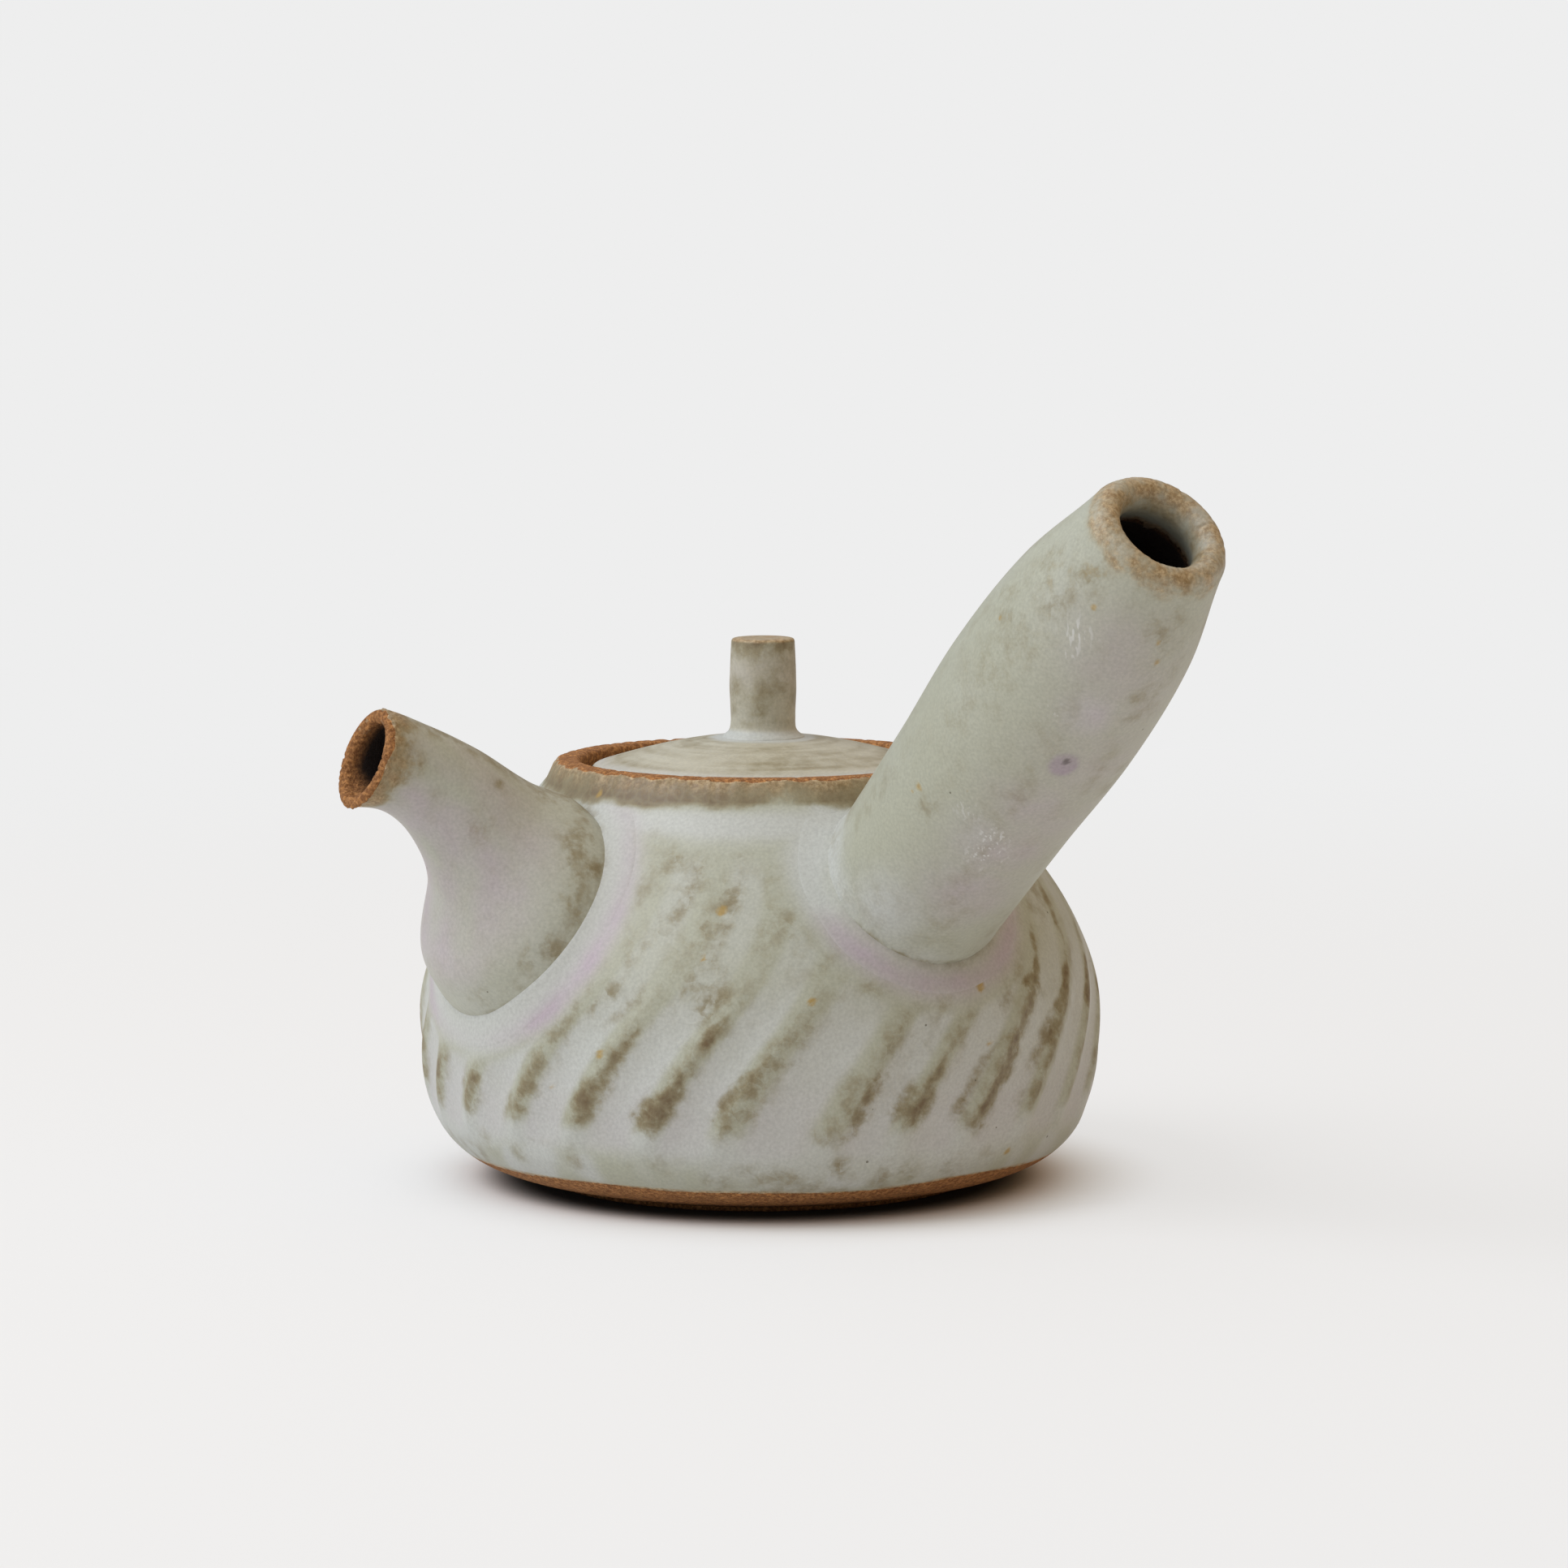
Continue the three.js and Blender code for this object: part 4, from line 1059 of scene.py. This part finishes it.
def handle_glaze(rows, part, from_crease, from_tip, turn):
    """Smooth pale green, thin and tan over the lip, lilac in patches underneath, pooled at the root's left.
    The ring and the pit are circles drawn out a little along the handle."""
    outer = part == 0
    noise = drawn_out(rows.shape[:2], 6, 14)
    long_strokes = drawn_out(rows.shape[:2], 3.5, 16)
    behind_lip = 1 - smooth(from_tip + 0.4 * noise, *handle_lip_fade)
    up_top = smooth(np.sin(turn + 0.9), -0.4, 0.9) * (1 - smooth(from_tip, *handle_worn_top))
    thin = 0.14 + (0.05 + 0.07 * up_top) * long_strokes + 0.2 * up_top + 0.4 * behind_lip
    thin = np.maximum(thin, spots(rows, handle_thin) + 0.05 * long_strokes)
    left_below = bell(np.degrees(turn), handle_left_below, 26)
    # Painted shade: an olive line along the crease, on the right and at the left below.
    creased = 0.3 * smooth(np.cos(turn) - np.sin(turn), -0.6, 0.3) + 0.3 * left_below
    thin = np.maximum(thin, creased * bell(from_crease, 0.8, 0.9))
    from_pit = rows - handle_pit
    to_pit = np.sqrt((from_pit**2).sum(-1) - 0.2 * (from_pit @ handle_way) ** 2)
    from_ring = rows - handle_ring
    to_ring = np.sqrt((from_ring**2).sum(-1) - 0.2 * (from_ring @ handle_way) ** 2)
    ring = 1 - smooth(to_ring, *handle_ring_edge)
    blush = np.maximum(spots(rows, handle_lilac), ring)
    pit = 1 - smooth(to_pit, *handle_pit_edge)
    pool = 0.1 + 0.9 * bell(from_crease, 0, 4.5) * handle_blended(turn) * (1 - 0.7 * left_below)
    pool = np.maximum(pool, spots(rows, handle_pale))
    # Painted light: the lip is paler on its right side, with more milk and less thin glaze.
    painted_light_side = smooth(np.cos(turn) - 0.4 * np.sin(turn), 0.1, 0.9)
    face = 1 - smooth(from_tip, 0.2, 2.6)
    pool = np.where(outer, pool, np.where((part == 3) & (from_tip < 8), 0.4, 0.1 + 0.35 * painted_light_side * face))
    thin = np.where(outer, thin * (1 - ring), 0)
    lip = (part == 1) | (part == 2)
    thin = np.where(lip, (0.34 + 0.16 * face) * (1 - 0.5 * painted_light_side) + 0.1 * noise, thin)
    lip_bare = np.where(lip, 0.1 + 0.13 * face, 0.26 * behind_lip)
    # Inside the mouth shade is painted in, darker the deeper it goes. Outside, the pit and its ring are
    # darker.
    outer_dark = np.where(outer, np.maximum(0.3 * ring, pit), 0)
    return {
        "thin": thin,
        "pool": pool,
        "blush": np.where(outer, blush, 0.06 * lip),
        "bare": np.where(part == 3, smooth(from_tip + 0.3 * noise, *handle_mouth_bare), lip_bare),
        "ochre": np.where(outer, spots(rows, handle_ochre), 0),
        "shade_and_pit": np.where(part == 3, smooth(from_tip, *handle_mouth_shade), outer_dark),
        "scuff": np.where(outer, spots(rows, handle_scuffs), 0),
    }


handle_piece = arm_skin(
    "handle_tube", handle, handle_span, handle_wall, handle_lip, handle_funnel, handle_blended, handle_grit,
    handle_glaze,
)
handle_piece.data.materials.append(celadon_glaze)
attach(handle_piece, "pot")
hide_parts("handle")

# The coils of soft clay pressed into the angle round both joins and smoothed out over
# the shoulder until only a hollow band shows, where the glaze pools.
coil_run = 6.0
coil_top = 57.2
coil_columns = 360
coil_rows = 18
coil_low_rise = 0.35
coil_more_rise = 0.75
coil_sink = 0.45
coil_back_share = 0.97


def coil_skin(name, arm, blended):
    """A closed ring of sections: from the pot's skin, up a hollow slope to the crease, on under the arm, and
    back beneath. It is lower where the arm was only pressed down, and ends below the collar."""
    turns = np.arange(coil_columns) * 2 * math.pi / coil_columns
    corner = on_arm(arm, leaves_pot(arm, turns), turns)
    way = corner - corner.mean(0)
    way /= np.linalg.norm(way, axis=-1)[:, None]
    room = (coil_top - corner[:, 2]) / np.maximum(way[:, 2], 0.01)
    run = np.clip(np.where(way[:, 2] > 0.01, room, coil_run), 1.0, coil_run)[None, :, None]
    share = np.concatenate([np.linspace(1, 0, coil_rows), [-0.12, -0.25]])[:, None, None]
    spread = corner + way * run * share
    rise = (coil_low_rise + coil_more_rise * blended(turns))[None] * run[..., 0] / coil_run
    out = np.clip(share[..., 0], 0, 1)
    lift = rise * (1 - out) ** 2.4 - coil_sink * smooth(out, 0.7, 1)
    scale = (radius_at(spread[..., 2]) + lift) / np.hypot(spread[..., 0], spread[..., 1])
    top = np.stack([spread[..., 0] * scale, spread[..., 1] * scale, spread[..., 2]], -1)
    under = top[::-4] * (coil_back_share, coil_back_share, 1)
    rows = np.concatenate([top, under])
    thin, pool, blush, even = shoulder_glaze(rows)
    return skin(name, rows, {"thin": thin, "pool": pool, "blush": blush, "even": even}, loop=True)


for name, arm, blended, coil_node in (
    ("spout_coil", spout, spout_blended, "spout_joint_coil"),
    ("handle_coil", handle, handle_blended, "handle_joint_coil"),
):
    coil = coil_skin(name, arm, blended)
    coil.data.materials.append(celadon_glaze)
    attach(coil, "pot")
    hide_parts(coil_node)

# The lid, a low dome turned on the wheel with a flange under it and a small vent. The
# glaze is wiped thin with a brush as it turns, so that olive rings show, and it pools
# white at the edge and round the foot of the knob.
lid_middle = np.array((0.373, -0.2515, 0))
lid_radius = 25.1
lid_under = gallery_height + 0.3
lid_edge = 2.7
lid_rise = 4.2
lid_top = lid_under + lid_edge + lid_rise
lid_pad = 5.8
lid_columns = 300
lid_glaze_edge = (20.5, 24.0)
lid_worn_radius = 24.9
lid_glazed_places = 8
knob_pool_edge = (6.8, 9.0)
lid_wall = 3.2
flange_outer = 22.3
flange_inner = 19.7
flange_depth = 5.0
vent_radius = 1.2
vent_reach = 12.0
vent_heading = 0.98


def dome_height(radius):
    """The lid's top: flat to the pad, then falling as the share of the way out to the power of one and a
    half."""
    return lid_top - lid_rise * (np.maximum(radius - lid_pad, 0) / (lid_radius - lid_pad)) ** 1.5


top_radius = np.linspace(lid_radius - 0.9, 0.01, 84)
top_line = np.stack([top_radius, dome_height(top_radius)], -1)
under_radius = np.linspace(0, flange_inner, 12)
under_line = np.stack([under_radius, dome_height(under_radius) - lid_wall], -1)
edge_line = eased([
    (flange_inner, lid_under - 1, 0),
    (flange_inner, lid_under - flange_depth, 0.8),
    (flange_outer, lid_under - flange_depth, 0.8),
    (flange_outer, lid_under, 0.5),
    (lid_radius, lid_under, 0.7),
    (lid_radius, dome_height(lid_radius), 0.9),
    (lid_radius - 1.6, dome_height(lid_radius - 1.6), 0),
])[1:-1]
lid_line = np.vstack([under_line, edge_line, top_line, [(0, lid_top)]])
lid_rows = turned(lid_line, lid_columns, lid_middle)
lid_r = lid_line[:, 0, None]
# The glaze covers the top and goes round the upper corner of the edge, the last places
# of the edge's line.
first_glazed = len(under_line) + len(edge_line) - lid_glazed_places
on_top = (np.arange(len(lid_line)) >= first_glazed)[:, None]
fine_rings = drawn_out(lid_rows.shape[:2], 34, 7)
soft_rings = drawn_out(lid_rows.shape[:2], 10, 3)
lid_thin = 0.37 + 0.07 * fine_rings + 0.09 * soft_rings
lid_thin = lid_thin * (1 - 0.6 * smooth(lid_r, 21.0 + soft_rings, 24.2)) * smooth(lid_r, 6.4, 8.6)
lid_thin = np.maximum(lid_thin, 0.55 * bell(lid_r, lid_worn_radius, 0.4))
lid_pool = 0.95 * (1 - smooth(lid_r, *knob_pool_edge))
lid_pool = np.maximum(lid_pool, 0.6 * smooth(lid_r, *lid_glaze_edge))
lid_masks = {
    "thin": np.where(on_top, lid_thin, 0.3),
    "pool": np.where(on_top, lid_pool, 0),
    "blush": np.where(on_top, 0.15 * smooth(lid_r, 20, 24), 0),
    "bare": np.where(on_top, 0, 1.0),
}
lid = skin("lid_dome", lid_rows, lid_masks)
vent_place = lid_middle + (vent_reach * math.cos(vent_heading), vent_reach * math.sin(vent_heading), 0)
vent_line = [(0, lid_top - 9), (vent_radius, lid_top - 9), (vent_radius, lid_top + 2), (0, lid_top + 2)]
bored(lid, [skin("vent_cutter", turned(vent_line, 32, vent_place), all_bare)])
# The same glaze brushed on thin: warmer, with soft olive rings in place of mottles.
lid_colours = {**celadon_colours, "celadon": "b8b5a3", "olive": "8f866a"}
brushed_glaze = stoneware("brushed_thin_glaze", lid_colours, 0.5)
lid.data.materials.clear()
lid.data.materials.append(brushed_glaze)
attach(lid, "lid")
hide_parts("lid")

# The knob, a short post thrown with the lid. Its foot flares into the dome under a
# ring of pooled glaze, and its top edge is worn through to tan clay.
knob_foot = 6.2
knob_waist = 4.68
knob_belly = 4.92
knob_head = 4.62
knob_crown = 2.4
knob_height = 14.5
knob_columns = 144
knob_foot_pool = (0.4, 1.6)
knob_foot_fade = (0.4, 2.6)
knob_worn_edge = (12.4, 14.0)
knob_tan_edge = (13.8, 14.3)
knob_line = eased([
    (0, lid_top - 0.3, 0),
    (knob_foot, lid_top - 0.3, 0.1),
    (knob_foot - 0.2, lid_top + 0.12, 0.2),
    (knob_waist + 0.17, lid_top + 0.9, 0.8),
    (knob_waist, lid_top + 3.0, 0.8),
    (knob_belly, lid_top + 8.0, 2.5),
    (knob_head, lid_top + knob_height - 0.1, 0.55),
    (knob_crown, lid_top + knob_height, 1.0),
    (0, lid_top + knob_height - 0.15, 0),
], 9)
knob_z = knob_line[:, 1, None] - lid_top
knob_rows = turned(knob_line, knob_columns, lid_middle)
knob_noise = drawn_out(knob_rows.shape[:2], 9, 6)
knob_turn = np.arange(knob_columns)[None] * 2 * math.pi / knob_columns
wobble = 1 + 0.006 * np.sin(2 * knob_turn + 0.7) + 0.004 * np.sin(3 * knob_turn) + 0.004 * knob_noise
knob_rows[..., :2] = lid_middle[:2] + (knob_rows[..., :2] - lid_middle[:2]) * wobble[..., None]
knob_thin = 0.31 + 0.11 * knob_noise
knob_thin = np.maximum(knob_thin, 0.74 * smooth(knob_z, *knob_worn_edge)) * smooth(knob_z, *knob_foot_fade)
knob_masks = {
    "thin": knob_thin,
    "pool": 0.9 * (1 - smooth(knob_z, *knob_foot_pool)) + 0.15,
    "blush": 0.15 * band(knob_z, (6, 9), (11, 13)),
    "bare": 0.27 * smooth(knob_z, *knob_tan_edge),
}
knob = skin("knob_post", knob_rows, knob_masks)
# The lid's glaze, more mottled, because fingers and the wipe of the brush wear it.
knob_glaze = stoneware("worn_knob_glaze", lid_colours, 0.8)
knob.data.materials.append(knob_glaze)
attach(knob, "lid")
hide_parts("lid_knob")

# The studio: a pale floor that fades into an even backdrop, a large soft lamp high on
# the left, and pale light all round that is weaker near the floor and warm at the right.

# The studio's sizes are in metres. Under the foot the paper is nearly black, which
# deepens the shadow that the pot itself casts there.
backdrop = linear("eeeeee")
floor_reach = 3.0
floor_fade = (0.15, 0.6)
floor_under_foot = (0.034, 0.042)
shadow_glow_radii = (0.038, 0.062)
floor_corners = [(-1, -1), (1, -1), (1, 1), (-1, 1)]
floor_mesh = bpy.data.meshes.new("studio_floor")
floor_mesh.from_pydata([(x * floor_reach, y * floor_reach, 0) for x, y in floor_corners], [], [(0, 1, 2, 3)])
floor = bpy.data.objects.new("studio_floor", floor_mesh)
bpy.context.scene.collection.objects.link(floor)
# Smooth white paper, dry and even. Just beyond the pot's belly the camera already sees it mostly as a glow
# of the backdrop's colour, painted light that lifts the pot's shadow, and far off wholly, so no horizon
# shows.
paper = bpy.data.materials.new("white_paper")
paper.use_nodes = True
tree = paper.node_tree
soft = {"interpolation_type": "SMOOTHSTEP"}
tree.nodes["Principled BSDF"].inputs["Roughness"].default_value = 0.9
far = node(tree, "VectorMath", {0: node(tree, "TexCoord", out="Object")}, out="Value", operation="LENGTH")
lit = {"Value": far, "From Min": floor_under_foot[0], "From Max": floor_under_foot[1], "To Min": 0.06}
lit = node(tree, "MapRange", lit, **soft)
paper_colour = node(tree, "VectorMath", {0: backdrop[:3], 1: lit}, operation="MULTIPLY")
tree.links.new(paper_colour, tree.nodes["Principled BSDF"].inputs["Base Color"])
# Painted light: the glow rises to 70 % just beyond the belly, lifting the pot's shadow on the paper.
near = {"Value": far, "From Min": shadow_glow_radii[0], "From Max": shadow_glow_radii[1], "To Max": 0.7}
near = node(tree, "MapRange", near, **soft)
fade = {"Value": far, "From Min": floor_fade[0], "From Max": floor_fade[1], "To Max": 0.3}
fade = node(tree, "MapRange", fade, **soft)
fade = node(tree, "Math", {0: near, 1: fade}, operation="ADD")
seen = node(tree, "LightPath", out="Is Camera Ray")
blend = node(tree, "Math", {0: fade, 1: seen}, operation="MULTIPLY")
glow = node(tree, "Emission", {"Color": backdrop, "Strength": 1.0})
surface = node(tree, "MixShader", {0: blend, 1: tree.nodes["Principled BSDF"].outputs[0], 2: glow})
tree.links.new(surface, tree.nodes["Material Output"].inputs["Surface"])
floor_mesh.materials.append(paper)

# The lights stand as the photograph's did, so their places follow its view.
view_turn = math.radians(-34)
view_pitch = math.radians(6.435)
to_right = np.array((math.cos(view_turn), math.sin(view_turn), 0))
to_back = np.array((math.sin(view_turn), -math.cos(view_turn), 0))
upward = np.array((0, 0, 1.0))

world = bpy.data.worlds.new("studio_light")
bpy.context.scene.world = world
world.use_nodes = True
tree = world.node_tree
way = node(tree, "TexCoord", out="Generated")
rise = node(tree, "SeparateXYZ", {0: way}, out="Z")
overhead = {"Value": rise, "From Min": -0.05, "From Max": 0.8, "To Min": 0.26, "To Max": 1.0}
overhead = node(tree, "MapRange", overhead, **soft)
rightward = node(tree, "VectorMath", {0: way, 1: tuple(to_right)}, out="Value", operation="DOT_PRODUCT")
warm_share = node(tree, "MapRange", {"Value": rightward, "From Min": -0.1, "From Max": 0.8}, **soft)
cool_light, warm_light = linear("f5f6f8"), linear("dcb988")
tint = node(tree, "Mix", {0: warm_share, 6: cool_light, 7: warm_light}, out=2, data_type="RGBA")
light = node(tree, "Background", {"Color": tint, "Strength": overhead})
behind = node(tree, "Background", {"Color": backdrop, "Strength": 1.0})
camera_ray = node(tree, "LightPath", out="Is Camera Ray")
final = node(tree, "MixShader", {0: camera_ray, 1: light, 2: behind})
tree.links.new(final, tree.nodes["World Output"].inputs["Surface"])

lamp_width = 0.8
lamp_watts = 7.5
lamp_place = -0.85 * to_right + 0.3 * to_back + 0.85 * upward
lamp_target = np.array((0, 0, 0.04))
lamp_aim = lamp_target - lamp_place
lamp_tilt = math.atan2(math.hypot(lamp_aim[0], lamp_aim[1]), -lamp_aim[2])
lamp_turn = math.atan2(lamp_aim[1], lamp_aim[0]) - math.pi / 2
lamp_data = bpy.data.lights.new("softbox", "AREA")
lamp_data.size = lamp_width
lamp_data.energy = lamp_watts
lamp_data.color = linear("fafbff")[:3]
lamp = bpy.data.objects.new("softbox", lamp_data)
lamp.location = tuple(lamp_place)
lamp.rotation_euler = (lamp_tilt, 0, lamp_turn)
bpy.context.scene.collection.objects.link(lamp)

# The camera, placed where the photograph was taken from: a long lens 85 cm away, a
# little above the pot and looking slightly down.
camera_distance = 0.85
camera_height = 0.153358
camera_shift = 0.003498
sensor_width_mm = 36.0
focal_length_mm = 134.5
camera_data = bpy.data.cameras.new("camera")
camera_data.sensor_width = sensor_width_mm
camera_data.lens = focal_length_mm
camera = bpy.data.objects.new("camera", camera_data)
camera.location = tuple(camera_distance * to_back + camera_shift * to_right + camera_height * upward)
camera.rotation_euler = (math.pi / 2 - view_pitch, 0, view_turn)
bpy.context.scene.collection.objects.link(camera)
bpy.context.scene.camera = camera
bpy.context.scene.view_settings.view_transform = "Standard"

bpy.context.view_layer.update()
